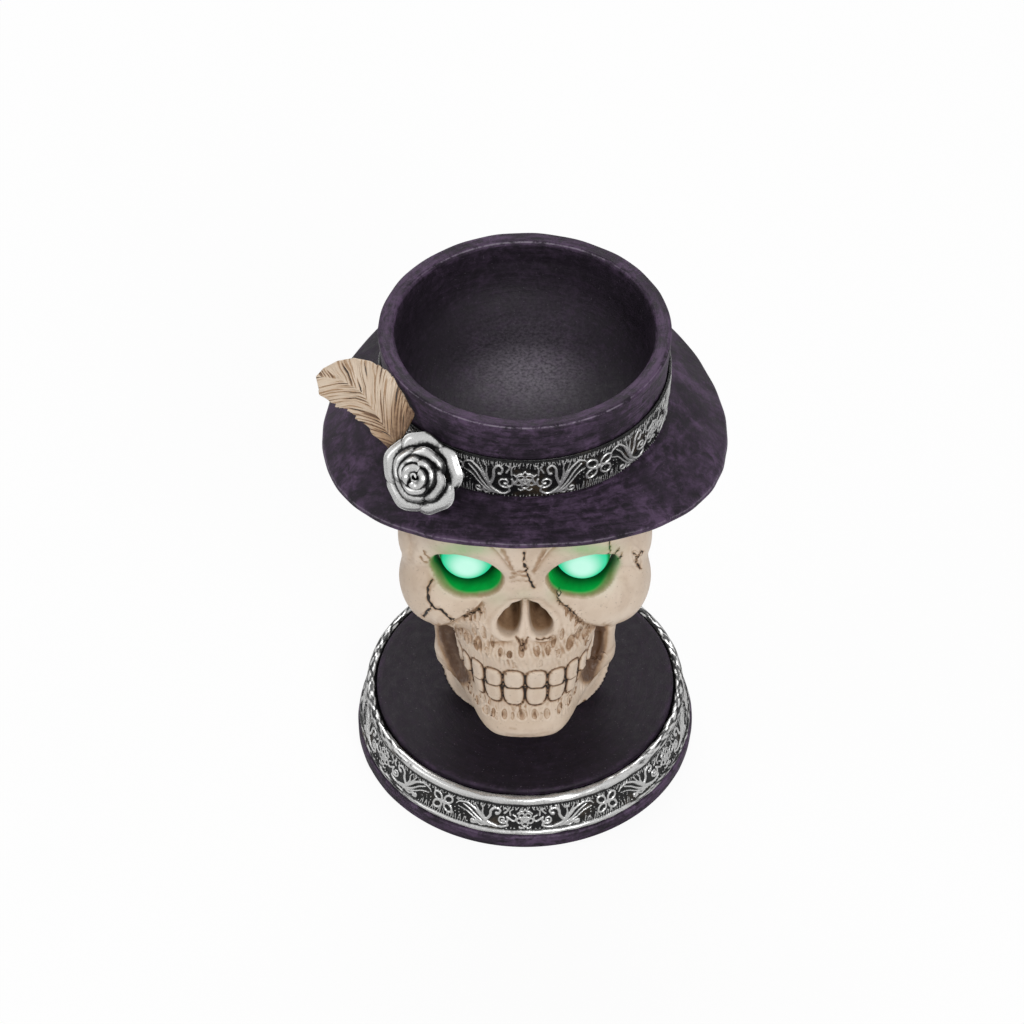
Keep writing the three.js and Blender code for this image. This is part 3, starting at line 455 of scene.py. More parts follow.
class Shader:
    """A node material under construction."""

    def __init__(self, name: str) -> None:
        """Starts a material with one principled shader."""
        self.material = bpy.data.materials.new(name)
        self.material.use_nodes = True
        self.nodes = self.material.node_tree.nodes
        self.links = self.material.node_tree.links
        self.surface = self.nodes["Principled BSDF"]
        self.coordinates = self.nodes.new("ShaderNodeTexCoord").outputs["Object"]

    def feed(self, socket: Socket, value: Fed) -> None:
        """Links an output to a socket, or sets the socket's value. A colour of three numbers is opaque."""
        if isinstance(value, Socket):
            self.links.new(value, socket)
        elif isinstance(value, tuple) and socket.type == "RGBA":
            socket.default_value = (*value, 1.0)
        else:
            socket.default_value = value

    def node(self, kind: str, **inputs: Fed) -> bpy.types.Node:
        """Adds a node and feeds its inputs, named with underscores."""
        node = self.nodes.new(f"ShaderNode{kind}")
        for key, value in inputs.items():
            self.feed(node.inputs[key.replace("_", " ")], value)
        return node

    def set(self, **values: Fed) -> None:
        """Feeds the shader's own sockets, named with underscores."""
        for key, value in values.items():
            self.feed(self.surface.inputs[key.replace("_", " ")], value)

    def attribute(self, name: str) -> Socket:
        """Reads a painted number."""
        node = self.nodes.new("ShaderNodeAttribute")
        node.attribute_name = name
        return node.outputs["Fac"]

    def around(self, along: float, across: float) -> Socket:
        """Coordinates that run slowly round the upright axis and fast outwards and upwards."""
        flat = self.node("VectorMath")
        flat.operation = "MULTIPLY"
        self.feed(flat.inputs[0], self.coordinates)
        flat.inputs[1].default_value = (1.0, 1.0, 0.0)
        size, turn = self.node("VectorMath"), self.node("VectorMath")
        size.operation, turn.operation = "LENGTH", "NORMALIZE"
        for node in (size, turn):
            self.feed(node.inputs[0], flat.outputs["Vector"])
        parts = self.node("SeparateXYZ", Vector=turn.outputs["Vector"])
        height = self.node("SeparateXYZ", Vector=self.coordinates)
        spread = self.plus(size.outputs["Value"], height.outputs["Z"])
        calm = self.times(self.ramp(size.outputs["Value"], 0.0, 0.045), along)
        x, y = (self.times(parts.outputs[key], calm) for key in "XY")
        return self.node("CombineXYZ", X=x, Y=y, Z=self.times(spread, across)).outputs["Vector"]

    def noise(
        self,
        scale: float,
        detail: float = 3.0,
        roughness: float = 0.55,
        distortion: float = 0.0,
        vector: Socket | None = None,
    ) -> Socket:
        """Cloudy noise, scale in humps per metre."""
        node = self.node("TexNoise", Scale=scale, Detail=detail, Roughness=roughness, Distortion=distortion)
        self.feed(node.inputs["Vector"], vector or self.coordinates)
        return node.outputs["Fac"]

    def ramp(self, value: Socket, low: float, high: float) -> Socket:
        """Stretches a value so that low becomes 0 and high becomes 1."""
        node = self.node("MapRange", Value=value, From_Min=low, From_Max=high)
        node.interpolation_type = "SMOOTHSTEP"
        return node.outputs["Result"]

    def sum(self, operation: str, *terms: Socket | float) -> Socket:
        """Arithmetic on values."""
        node = self.node("Math")
        node.operation = operation
        for socket, term in zip(node.inputs, terms):
            self.feed(socket, term)
        return node.outputs["Value"]

    def times(self, *terms: Socket | float) -> Socket:
        """The product of two values."""
        return self.sum("MULTIPLY", *terms)

    def plus(self, *terms: Socket | float) -> Socket:
        """The sum of two values."""
        return self.sum("ADD", *terms)

    def less(self, *terms: Socket | float) -> Socket:
        """The first value less the second."""
        return self.sum("SUBTRACT", *terms)

    def mix(
        self,
        share: Socket | float,
        first: Triple | Socket,
        second: Triple | Socket,
    ) -> Socket:
        """Mixes two colours."""
        node = self.node("Mix")
        node.data_type = "RGBA"
        for number, value in ((0, share), (6, first), (7, second)):
            self.feed(node.inputs[number], value)
        return node.outputs[2]

    def bump(self, height: Socket, depth: float, strength: float = 1.0) -> None:
        """Roughens the surface by a height pattern, depth in metres, over any bump before it."""
        node = self.node("Bump", Distance=depth, Strength=strength, Height=height)
        earlier = self.surface.inputs["Normal"].links
        if earlier:
            self.links.new(earlier[0].from_socket, node.inputs["Normal"])
        self.set(Normal=node.outputs["Normal"])


@dataclass(frozen=True)
class BoneResin:
    """Matte cast resin painted as old bone, with a brown wash that also holds painted shade, inked cracks,
    painted shade round the eye domes, and painted green light from the eyes that glows.
    """

    cream: Triple = (0.61, 0.482, 0.368)
    pale: Triple = (0.70, 0.58, 0.47)
    rosy: Triple = (0.50, 0.37, 0.275)
    tan: Triple = (0.36, 0.225, 0.13)
    brown: Triple = (0.095, 0.046, 0.022)
    ink: Triple = (0.012, 0.008, 0.006)
    green: Triple = (0.0, 0.16, 0.02)
    # Colour of the painted shade round the eye domes.
    dome_shade: Triple = (0.0, 0.018, 0.006)
    light: Triple = (0.0, 0.50, 0.07)

    def build(self) -> bpy.types.Material:
        """Makes the material."""
        s = Shader("bone_resin")
        cloud = s.noise(38.0, 4.0, 0.6)
        blush = s.noise(70.0, 5.0, 0.65, 0.5)
        fine = s.noise(420.0, 5.0, 0.65)
        speck = s.ramp(s.noise(900.0, 2.0, 0.5), 0.64, 0.74)
        base = s.mix(s.ramp(cloud, 0.35, 0.68), self.cream, self.pale)
        stained = s.mix(s.times(s.ramp(blush, 0.46, 0.72), 0.6), base, self.rosy)
        dry = s.mix(s.times(s.attribute("crest"), 0.55), stained, self.pale)
        wash = s.attribute("wash")
        patchy = s.plus(s.times(fine, 0.7), s.times(blush, 0.6))
        broken = s.times(wash, s.plus(0.4, patchy))
        tinted = s.mix(s.ramp(broken, 0.06, 0.62), dry, self.tan)
        deep = s.mix(s.ramp(broken, 0.45, 1.05), tinted, self.brown)
        dotted = s.mix(s.times(speck, 0.3), deep, self.brown)
        # Painted green light from the eyes: where it is painted, the bone turns green and glows, though it is
        # no lamp.
        glow = s.attribute("glow")
        dome_shade = s.attribute("dome_shade")
        uneven = s.plus(glow, s.times(s.less(blush, 0.5), s.times(glow, 0.7)))
        lit = s.mix(s.ramp(uneven, 0.0, 0.8), dotted, self.green)
        # Painted shade right round the eye domes.
        shaded = s.mix(dome_shade, lit, self.dome_shade)
        inked = s.mix(s.ramp(s.attribute("ink"), 0.35, 0.7), shaded, self.ink)
        s.set(Base_Color=inked)
        s.set(Roughness=s.ramp(fine, -0.55, 1.75))
        # The painted green light, patchy, given off as a glow except in the painted shade round the domes.
        patchy_share = s.times(s.ramp(uneven, 0.0, 0.6), s.ramp(blush, 0.0, 0.8))
        open_light = s.times(patchy_share, s.less(1.0, dome_shade))
        s.set(Emission_Strength=s.times(open_light, 0.46))
        s.set(Emission_Color=self.light, Specular_IOR_Level=0.4)
        s.bump(fine, 0.00014, 0.8)
        s.bump(blush, 0.0006, 0.4)
        return s.material


@dataclass(frozen=True)
class HatResin:
    """Near-black satin resin with purple put on by dry brushing, edges lighter from wear and, on the hat,
    painted highlights, and a painted sheen on the bowl's floor.
    """

    charcoal: Triple = (0.0135, 0.0105, 0.0150)
    purple: Triple = (0.092, 0.058, 0.106)
    lilac: Triple = (0.34, 0.30, 0.36)

    def build(self) -> bpy.types.Material:
        """Makes the material."""
        s = Shader("hat_resin")
        patches = s.noise(26.0, 4.0, 0.6, 0.8)
        strokes = s.noise(1.0, 6.0, 0.7, 0.3, s.around(5.0, 520.0))
        mottle = s.noise(260.0, 5.0, 0.7, 0.5)
        fine = s.noise(800.0, 4.0, 0.6)
        edge = s.attribute("edge")
        # Purple share: dry brushing, raised on the bowl's floor by the painted sheen.
        brush_and_sheen = s.attribute("brush_and_sheen")
        # Painted sheen: lilac speckles where the bowl's floor reflects the light, with its streaks faded.
        painted_sheen = s.attribute("sheen")
        area = s.times(s.ramp(patches, 0.22, 0.78), brush_and_sheen)
        # Purple dry brushing, more on the edges, which hold painted highlights in places.
        patchy_share = s.plus(s.plus(area, s.times(edge, 0.45)), 0.14)
        streaks = s.times(s.ramp(strokes, 0.3, 0.72), s.less(1.0, painted_sheen))
        grain = s.plus(s.times(streaks, 0.85), s.times(s.ramp(mottle, 0.36, 0.7), 0.75))
        broken = s.times(patchy_share, grain)
        base = s.mix(s.ramp(broken, 0.0, 1.15), self.charcoal, self.purple)
        # Painted sheen, speckled in lilac.
        speckles = s.times(painted_sheen, s.times(s.ramp(fine, 0.1, 0.9), 0.62))
        base = s.mix(speckles, base, self.lilac)
        # Lilac on the edges: wear, and painted highlights on the crown's rim and the brim's edge.
        wear_and_highlight = s.times(s.ramp(edge, 0.72, 1.0), s.ramp(mottle, 0.38, 0.56))
        edged = s.mix(s.times(wear_and_highlight, 0.6), base, self.lilac)
        dust = s.times(s.ramp(s.noise(1300.0, 2.0, 0.5), 0.68, 0.76), 0.2)
        s.set(Base_Color=s.mix(dust, edged, self.lilac))
        s.set(Roughness=s.ramp(mottle, -0.6, 1.5))
        s.set(Specular_IOR_Level=0.11)
        s.bump(fine, 0.00012, 0.8)
        s.bump(streaks, 0.0002, 0.5)
        s.bump(mottle, 0.00025, 0.4)
        return s.material


@dataclass(frozen=True)
class AntiqueSilver:
    """Silver paint put on by dry brushing over a black ground, brown in a few recesses."""

    ground: Triple = (0.0075, 0.0075, 0.008)
    silver: Triple = (0.56, 0.56, 0.555)
    patina: Triple = (0.07, 0.05, 0.03)

    def build(self) -> bpy.types.Material:
        """Makes the material."""
        s = Shader("antique_silver")
        fine = s.noise(850.0, 4.0, 0.65)
        blot = s.noise(60.0, 3.0, 0.6)
        raised = s.plus(s.attribute("raise"), s.times(s.less(fine, 0.5), 0.6))
        bright = s.ramp(raised, 0.36, 0.80)
        low = s.mix(s.ramp(blot, 0.55, 0.8), self.ground, self.patina)
        s.set(Base_Color=s.mix(bright, low, self.silver))
        s.set(Metallic=s.times(bright, 0.65))
        s.set(Roughness=s.ramp(fine, -0.25, 2.1))
        s.set(Specular_IOR_Level=0.25)
        s.bump(fine, 0.00008, 0.6)
        return s.material


@dataclass(frozen=True)
class FeatherResin:
    """Bone-coloured resin with brown wash in the barbs and inked dashes."""

    cream: Triple = (0.66, 0.54, 0.42)
    tan: Triple = (0.40, 0.26, 0.155)
    brown: Triple = (0.11, 0.055, 0.027)
    ink: Triple = (0.015, 0.010, 0.008)

    def build(self) -> bpy.types.Material:
        """Makes the material."""
        s = Shader("feather_resin")
        fine = s.noise(500.0, 4.0, 0.6)
        wash = s.times(s.attribute("wash"), s.plus(0.55, s.times(fine, 0.9)))
        base = s.mix(s.ramp(s.noise(90.0), 0.3, 0.7), self.cream, self.tan)
        light = s.mix(0.35, self.cream, base)
        tinted = s.mix(s.ramp(wash, 0.08, 0.6), light, self.tan)
        deep = s.mix(s.ramp(wash, 0.5, 1.1), tinted, self.brown)
        s.set(Base_Color=s.mix(s.ramp(s.attribute("ink"), 0.4, 0.7), deep, self.ink))
        s.set(Roughness=s.ramp(fine, -0.9, 1.9))
        s.bump(fine, 0.00012, 0.7)
        return s.material


@dataclass(frozen=True)
class EyeGlow:
    """Translucent dome lit from behind: near white in the middle, deep green at its rim."""

    core: Triple = (0.54, 0.93, 0.77)
    mint: Triple = (0.02, 0.66, 0.34)
    rim: Triple = (0.0, 0.22, 0.04)
    strength: float = 0.87

    def build(self) -> bpy.types.Material:
        """Makes the material."""
        s = Shader("eye_glow")
        heart = s.attribute("heart")
        outer = s.mix(s.ramp(heart, 0.06, 0.24), self.rim, self.mint)
        colour = s.mix(s.ramp(heart, 0.25, 0.82), outer, self.core)
        s.set(Base_Color=s.mix(0.85, colour, (0.01, 0.03, 0.02)))
        s.set(Emission_Color=colour)
        s.set(Emission_Strength=self.strength, Roughness=0.35, Specular_IOR_Level=0.3)
        s.bump(s.noise(300.0, 2.0), 0.00005, 0.3)
        return s.material


@dataclass(frozen=True)
class Moulded:
    """A plain moulded or metal finish with fine grain."""

    colour: Triple
    second: Triple
    roughness: Pair
    metallic: float = 0.0
    grain: float = 900.0
    depth: float = 0.00004
    emission: float = 0.0

    def build(self) -> bpy.types.Material:
        """Makes the material."""
        s = Shader("moulded")
        grain = s.noise(self.grain, 4.0, 0.6)
        blot = s.noise(self.grain / 12.0, 3.0, 0.5)
        s.set(Base_Color=s.mix(s.ramp(blot, 0.3, 0.7), self.colour, self.second))
        low, high = self.roughness
        node = s.node("MapRange", Value=grain, To_Min=low, To_Max=high)
        s.set(Roughness=node.outputs["Result"])
        s.set(Metallic=self.metallic)
        if self.emission:
            s.set(Emission_Color=self.colour, Emission_Strength=self.emission)
        s.bump(grain, self.depth, 0.6)
        return s.material


class Finish(Enum):
    """Every finish of the holder. The value is the record's slot and the finish itself."""

    BONE = ("bone_resin", BoneResin())
    HAT = ("hat_resin", HatResin())
    SILVER = ("antique_silver", AntiqueSilver())
    FEATHER = ("feather_resin", FeatherResin())
    EYE = ("eye_plastic", EyeGlow())
    LED = ("led_lens", Moulded((0.45, 0.95, 0.7), (0.5, 1.0, 0.75), (0.05, 0.15), emission=1.5))
    WHITE = ("white_plastic", Moulded((0.72, 0.72, 0.69), (0.78, 0.78, 0.75), (0.4, 0.6)))
    BLACK = ("black_plastic", Moulded((0.014, 0.014, 0.015), (0.02, 0.02, 0.021), (0.45, 0.7), depth=0.0001))
    RUBBER = ("rubber", Moulded((0.012, 0.012, 0.012), (0.02, 0.02, 0.019), (0.7, 0.95), depth=0.0001))
    STEEL = ("steel", Moulded((0.56, 0.57, 0.58), (0.48, 0.49, 0.5), (0.22, 0.42), 1.0))
    CELL = ("cell_jacket", Moulded((0.04, 0.07, 0.12), (0.05, 0.08, 0.13), (0.25, 0.4), 0.35))
    BOARD = ("circuit_board", Moulded((0.02, 0.11, 0.04), (0.03, 0.13, 0.05), (0.35, 0.5)))
    WIRE = ("lead_wire", Moulded((0.36, 0.03, 0.02), (0.42, 0.04, 0.03), (0.35, 0.55)))

    @property
    def material(self) -> bpy.types.Material:
        """The finish's material, made once."""
        slot, finish = self.value
        name = f"dressed_{slot}"
        made = bpy.data.materials.get(name)
        if not made:
            made = finish.build()
            made.name = name
        return made


def dress(piece: Piece, finish: Finish, node: str) -> None:
    """Gives a finished piece its finish and its body, and hides the CAD node that it stands for.

    Args:
        piece: The piece, at the origin.
        finish: Its finish.
        node: The CAD node that it replaces.
    """
    piece.data.materials.clear()
    piece.data.materials.append(finish.material)
    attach(piece, STILL_BODY)
    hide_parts(node)
    LOG.info("%s: %d faces, %s", piece.name, len(piece.data.polygons), finish.value[0])


# Sculpting


@dataclass(frozen=True)
class Ball:
    """An ellipsoid of clay, in shares of the skull's width."""

    centre: Triple
    radii: Triple
    blend: float = 0.0

    def distance(self, p: Array) -> Array:
        """Distance from its surface, negative inside."""
        q = (p - self.centre) / self.radii
        near = np.linalg.norm(q, axis=1)
        slope = np.linalg.norm(q / self.radii, axis=1) + 1e-9
        return near * (near - 1.0) / slope


@dataclass(frozen=True)
class Bone:
    """A tapered rod of clay with round ends."""

    start: Triple
    end: Triple
    radii: Pair
    blend: float = 0.0

    def distance(self, p: Array) -> Array:
        """Distance from its surface, negative inside."""
        share, away = to_segment(p, np.array(self.start), np.array(self.end))
        return away - self.radii[0] - (self.radii[1] - self.radii[0]) * share


@dataclass(frozen=True)
class Arch:
    """A tooth arch: a rounded wall that opens backwards."""

    width: float
    depth: float
    back: float
    low: float
    high: float
    taper: float = 0.0
    edge: float = 0.02
    blend: float = 0.1
    power: float = 2.6
    closing: float = 0.25

    def ring(self, p: Array) -> tuple[Array, Array]:
        """Scaled place across and ahead, 1 on the outline."""
        spread = np.maximum(1.0 + self.taper * (p[:, 2] - self.high), 0.1)
        across = np.abs(p[:, 0]) / (self.width * spread)
        ahead = np.maximum(self.back - p[:, 1], 0.0) / self.depth
        return across, ahead

    def distance(self, p: Array) -> Array:
        """Distance from its surface, negative inside."""
        across, ahead = self.ring(p)
        ring = (across**self.power + ahead**self.power + 1e-12) ** (1.0 / self.power)
        side = (ring - 1.0) * min(self.width, self.depth)
        level = np.abs(p[:, 2] - (self.low + self.high) / 2) - (self.high - self.low) / 2
        wall = smooth_max(side, level, self.edge)
        return smooth_max(wall, p[:, 1] - self.back - self.closing * self.depth, self.edge)

    def walked(self, p: Array, steps: int = 400) -> Array:
        """Length along the outline from its front, in shares of the skull's width."""
        turn = np.linspace(0.0, math.pi / 2, steps)
        reach = (np.sin(turn) ** self.power + np.cos(turn) ** self.power) ** (-1.0 / self.power)
        outline = np.stack([self.width * reach * np.sin(turn), self.depth * reach * np.cos(turn)], axis=1)
        length = np.concatenate([[0.0], np.cumsum(np.linalg.norm(np.diff(outline, axis=0), axis=1))])
        across, ahead = self.ring(p)
        return np.interp(np.arctan2(across, ahead), turn, length)


Form = Ball | Bone | Arch


@dataclass
class Touch:
    """What the fine tools did at each point: how far out they raised it, and what they painted."""

    height: Array
    wash: Array
    ink: Array
    near_line: Array

    @classmethod
    def none(cls, count: int) -> "Touch":
        """An untouched surface."""
        return cls(np.zeros(count), np.zeros(count), np.zeros(count), np.full(count, np.inf))

    def stain(self, wash: Array) -> None:
        """Adds wash where it is darker than what is there."""
        self.wash = np.maximum(self.wash, wash)

    def draw(self, ink: Array) -> None:
        """Adds ink where it is darker than what is there."""
        self.ink = np.maximum(self.ink, ink)

    def mark(self, here: Array, away: float | Array) -> None:
        """Notes how near a line is, where the faces are divided for it."""
        self.near_line = np.where(here, np.minimum(self.near_line, away), self.near_line)

    def groove(self, away: Array, width: float, depth: float, ink: float, wash: float) -> None:
        """Cuts a groove where away, the distance from its line in millimetres, is small."""
        cut = bell(away, width)
        self.height -= depth * cut
        self.draw(ink * (1.0 - smooth(away, 0.55 * width, 1.15 * width)))
        self.stain(wash * bell(away, 2.4 * width))
        if ink > 0:
            self.near_line = np.minimum(self.near_line, away)


@dataclass(frozen=True)
class Crack:
    """A line on the face as it is seen in the frame, with its groove's width and depth in millimetres."""

    stops: tuple[Pair, ...]
    width: float = 0.42
    depth: float = 0.45
    ink: float = 1.0
    wash: float = 0.45


@dataclass(frozen=True)
class Pit:
    """An almond-shaped hollow on the face as it is seen in the frame: centre, half width and half height."""

    x: float
    y: float
    half_width: float
    half_height: float
    depth: float = 0.9
    lean: float = 0.0


@dataclass(frozen=True)
class Fold:
    """An edge on the face as it is seen in the frame, with the side above it standing over the other."""

    stops: tuple[Pair, ...]
    rise: float = 0.7
    dip: float = 0.6
    reach: float = 2.6
    # How dark the side below is painted: wash and painted shade.
    wash: float = 0.7


def marks(low: float, high: float, step: float) -> Array:
    """Even places from low to high, no further apart than the step."""
    return np.linspace(low, high, math.ceil((high - low) / step) + 1)


def surface_net(values: Array, axes: Sequence[Array]) -> tuple[Array, Array]:
    """Wraps a skin of four-sided faces round the places where a field is negative.

    Args:
        values: The field on a grid.
        axes: The grid's places along x, y and z.

    Returns:
        The skin's points and its faces.
    """
    cells = np.array(values.shape) - 1
    total = np.zeros((*cells, 3))
    count = np.zeros(cells)
    crossings = []
    for axis in range(3):
        first = np.take(values, np.arange(values.shape[axis] - 1), axis)
        second = np.take(values, np.arange(1, values.shape[axis]), axis)
        here = np.argwhere((first < 0) != (second < 0))
        a, b = first[tuple(here.T)], second[tuple(here.T)]
        share = a / (a - b)
        spot = np.stack([axes[i][here[:, i]] for i in range(3)], axis=1)
        stride = axes[axis][here[:, axis] + 1] - axes[axis][here[:, axis]]
        spot[:, axis] += share * stride
        across, beyond = (axis + 1) % 3, (axis + 2) % 3
        ring = []
        for shift in ((1, 1), (0, 1), (0, 0), (1, 0)):
            cell = here.copy()
            cell[:, across] -= shift[0]
            cell[:, beyond] -= shift[1]
            ring.append(cell)
            np.add.at(total, tuple(cell.T), spot)
            np.add.at(count, tuple(cell.T), 1)
        crossings.append((ring, a < 0))
    used = count > 0
    number = np.full(cells, -1)
    number[used] = np.arange(used.sum())
    points = total[used] / count[used][:, None]
    faces = []
    for ring, outward in crossings:
        rows = np.stack([number[tuple(cell.T)] for cell in ring], axis=1)
        rows[~outward] = rows[~outward][:, ::-1]
        faces.append(rows)
    return points, np.concatenate(faces)


@dataclass
class Clay:
    """A sculpture: forms joined smoothly, hollows cut from them, and fine work on the surface."""

    forms: tuple[Form, ...] = ()
    width: float = 100.0
    # Strength of the painted shade in creases.
    crease_shade_strength: float = 0.85

    @property
    def arch(self) -> Arch:
        """The arch among the forms, which the teeth stand on."""
        return next(form for form in self.forms if isinstance(form, Arch))

    def shares(self, p: Array) -> Array:
        """Millimetres in the scene to shares about the bite plane, one side for both."""
        q = p / self.width
        q[:, 0] = np.abs(q[:, 0])
        q[:, 2] -= BITE / self.width
        return q

    def mass(self, p: Array) -> Array:
        """Distance from the plain forms, in millimetres."""
        raise NotImplementedError

    def touch(self, p: Array) -> Touch:
        """The fine work at each point."""
        return Touch.none(len(p))

    def field(self, p: Array) -> Array:
        """Distance from the finished surface, in millimetres."""
        return self.mass(p) - self.touch(p).height

    def joined(self, q: Array, forms: Sequence[Form]) -> Array:
        """Distance from the smooth join of forms, in millimetres."""
        total = np.full(len(q), np.inf)
        for form in forms:
            total = smooth_min(total, form.distance(q), form.blend)
        return total * self.width

    def slope(self, p: Array, field_of: Field, reach: float) -> Array:
        """The way out of the surface at each point, not unit length."""
        corners = np.array([(1, -1, -1), (-1, -1, 1), (-1, 1, -1), (1, 1, 1)], float)
        return sum(c * field_of(p + c * reach)[:, None] for c in corners) / (4 * reach)

    def drawn(self, p: Array, field_of: Field, rounds: int, reach: float) -> Array:
        """Draws points onto the surface."""
        for _ in range(rounds):
            way = self.slope(p, field_of, reach)
            size = np.maximum((way * way).sum(axis=1), 0.15)
            step = np.clip(field_of(p) / size, -2.0, 2.0)
            p = p - step[:, None] * way
        return p

    def carve(self, name: str, axes: Sequence[Array]) -> Piece:
        """Makes the piece.

        Args:
            name: The piece's name.
            axes: The grid's places along x, y and z, in millimetres.

        Returns:
            The finished mesh with its wash, which holds painted shade in hollows and creases as well, and its
            ink painted.
        """
        grid = np.stack(np.meshgrid(*axes, indexing="ij"), axis=-1)
        flat = grid.reshape(-1, 3)
        parts = np.array_split(np.arange(len(flat)), max(1, len(flat) // 200_000))
        values = np.concatenate([self.mass(flat[rows].copy()) for rows in parts])
        points, faces = surface_net(values.reshape(grid.shape[:3]), axes)
        points = self.drawn(points, self.mass, 3, 0.3)
        piece = mesh_piece(name, points, faces)
        for reach in (1.9, 1.0):
            self.refine(piece, reach)
        points = self.drawn(places(piece), self.field, 3, 0.12)
        move_to(piece, points)
        worked = self.touch(points)
        # The wash is brown wash and painted shade: darker where the mesh is sunk and in creases of the plain
        # forms.
        sunk = 0.26 * smooth(hollows_of(piece, 8), 0.05, 0.5) + 0.2 * smooth(hollows_of(piece, 40), 0.12, 1.0)
        paint(piece, "ink", worked.ink)
        paint(piece, "wash", worked.wash + 0.55 * sunk + self.crease_shade(points, normals_of(piece)))
        paint(piece, "crest", smooth(-hollows_of(piece, 8), 0.01, 0.12))
        return piece

    def refine(self, piece: Piece, reach: float) -> None:
        """Divides the faces that lie near an inked line."""
        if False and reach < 1.5:
            return
        points = places(piece)
        near = self.touch(points).near_line < reach
        if not near.any():
            return
        pick(piece)
        bpy.ops.object.mode_set(mode="EDIT")
        bpy.ops.mesh.select_mode(type="VERT")
        bpy.ops.mesh.select_all(action="DESELECT")
        bpy.ops.object.mode_set(mode="OBJECT")
        piece.data.vertices.foreach_set("select", near)
        bpy.ops.object.mode_set(mode="EDIT")
        bpy.ops.mesh.subdivide(number_cuts=1)
        bpy.ops.object.mode_set(mode="OBJECT")

    def crease_shade(self, p: Array, way: Array) -> Array:
        """Painted shade: how deep each point lies in a crease of the plain forms, 0 on open surfaces."""
        total = np.zeros(len(p))
        for reach, weight in ((2.0, 0.8), (5.0, 0.55), (9.0, 0.3)):
            free = self.mass(p + reach * way)
            total += weight * np.clip(1.0 - free / reach, 0.0, 1.2)
        return smooth(total, 0.12, 1.25) * self.crease_shade_strength


# The lower edges of the cheekbones as they are seen in the frame
CHEEK_EDGES = (
    ((430, 626.5), (441, 625.5), (452, 621.5), (461, 616.5), (470, 612), (478, 606), (484, 599)),
    ((556, 588), (557.5, 598), (563, 604), (573, 613.5), (585, 622.5), (600, 626), (618, 628)),
)
# The upper edges of the eye sockets there
SOCKET_EDGES = (
    ((432, 561.5), (441, 556.5), (455, 553.5), (470, 554), (485, 558.5), (499, 566)),
    ((549, 568), (562, 558.5), (577, 553.5), (592, 552.5), (606, 556), (614, 561)),
)


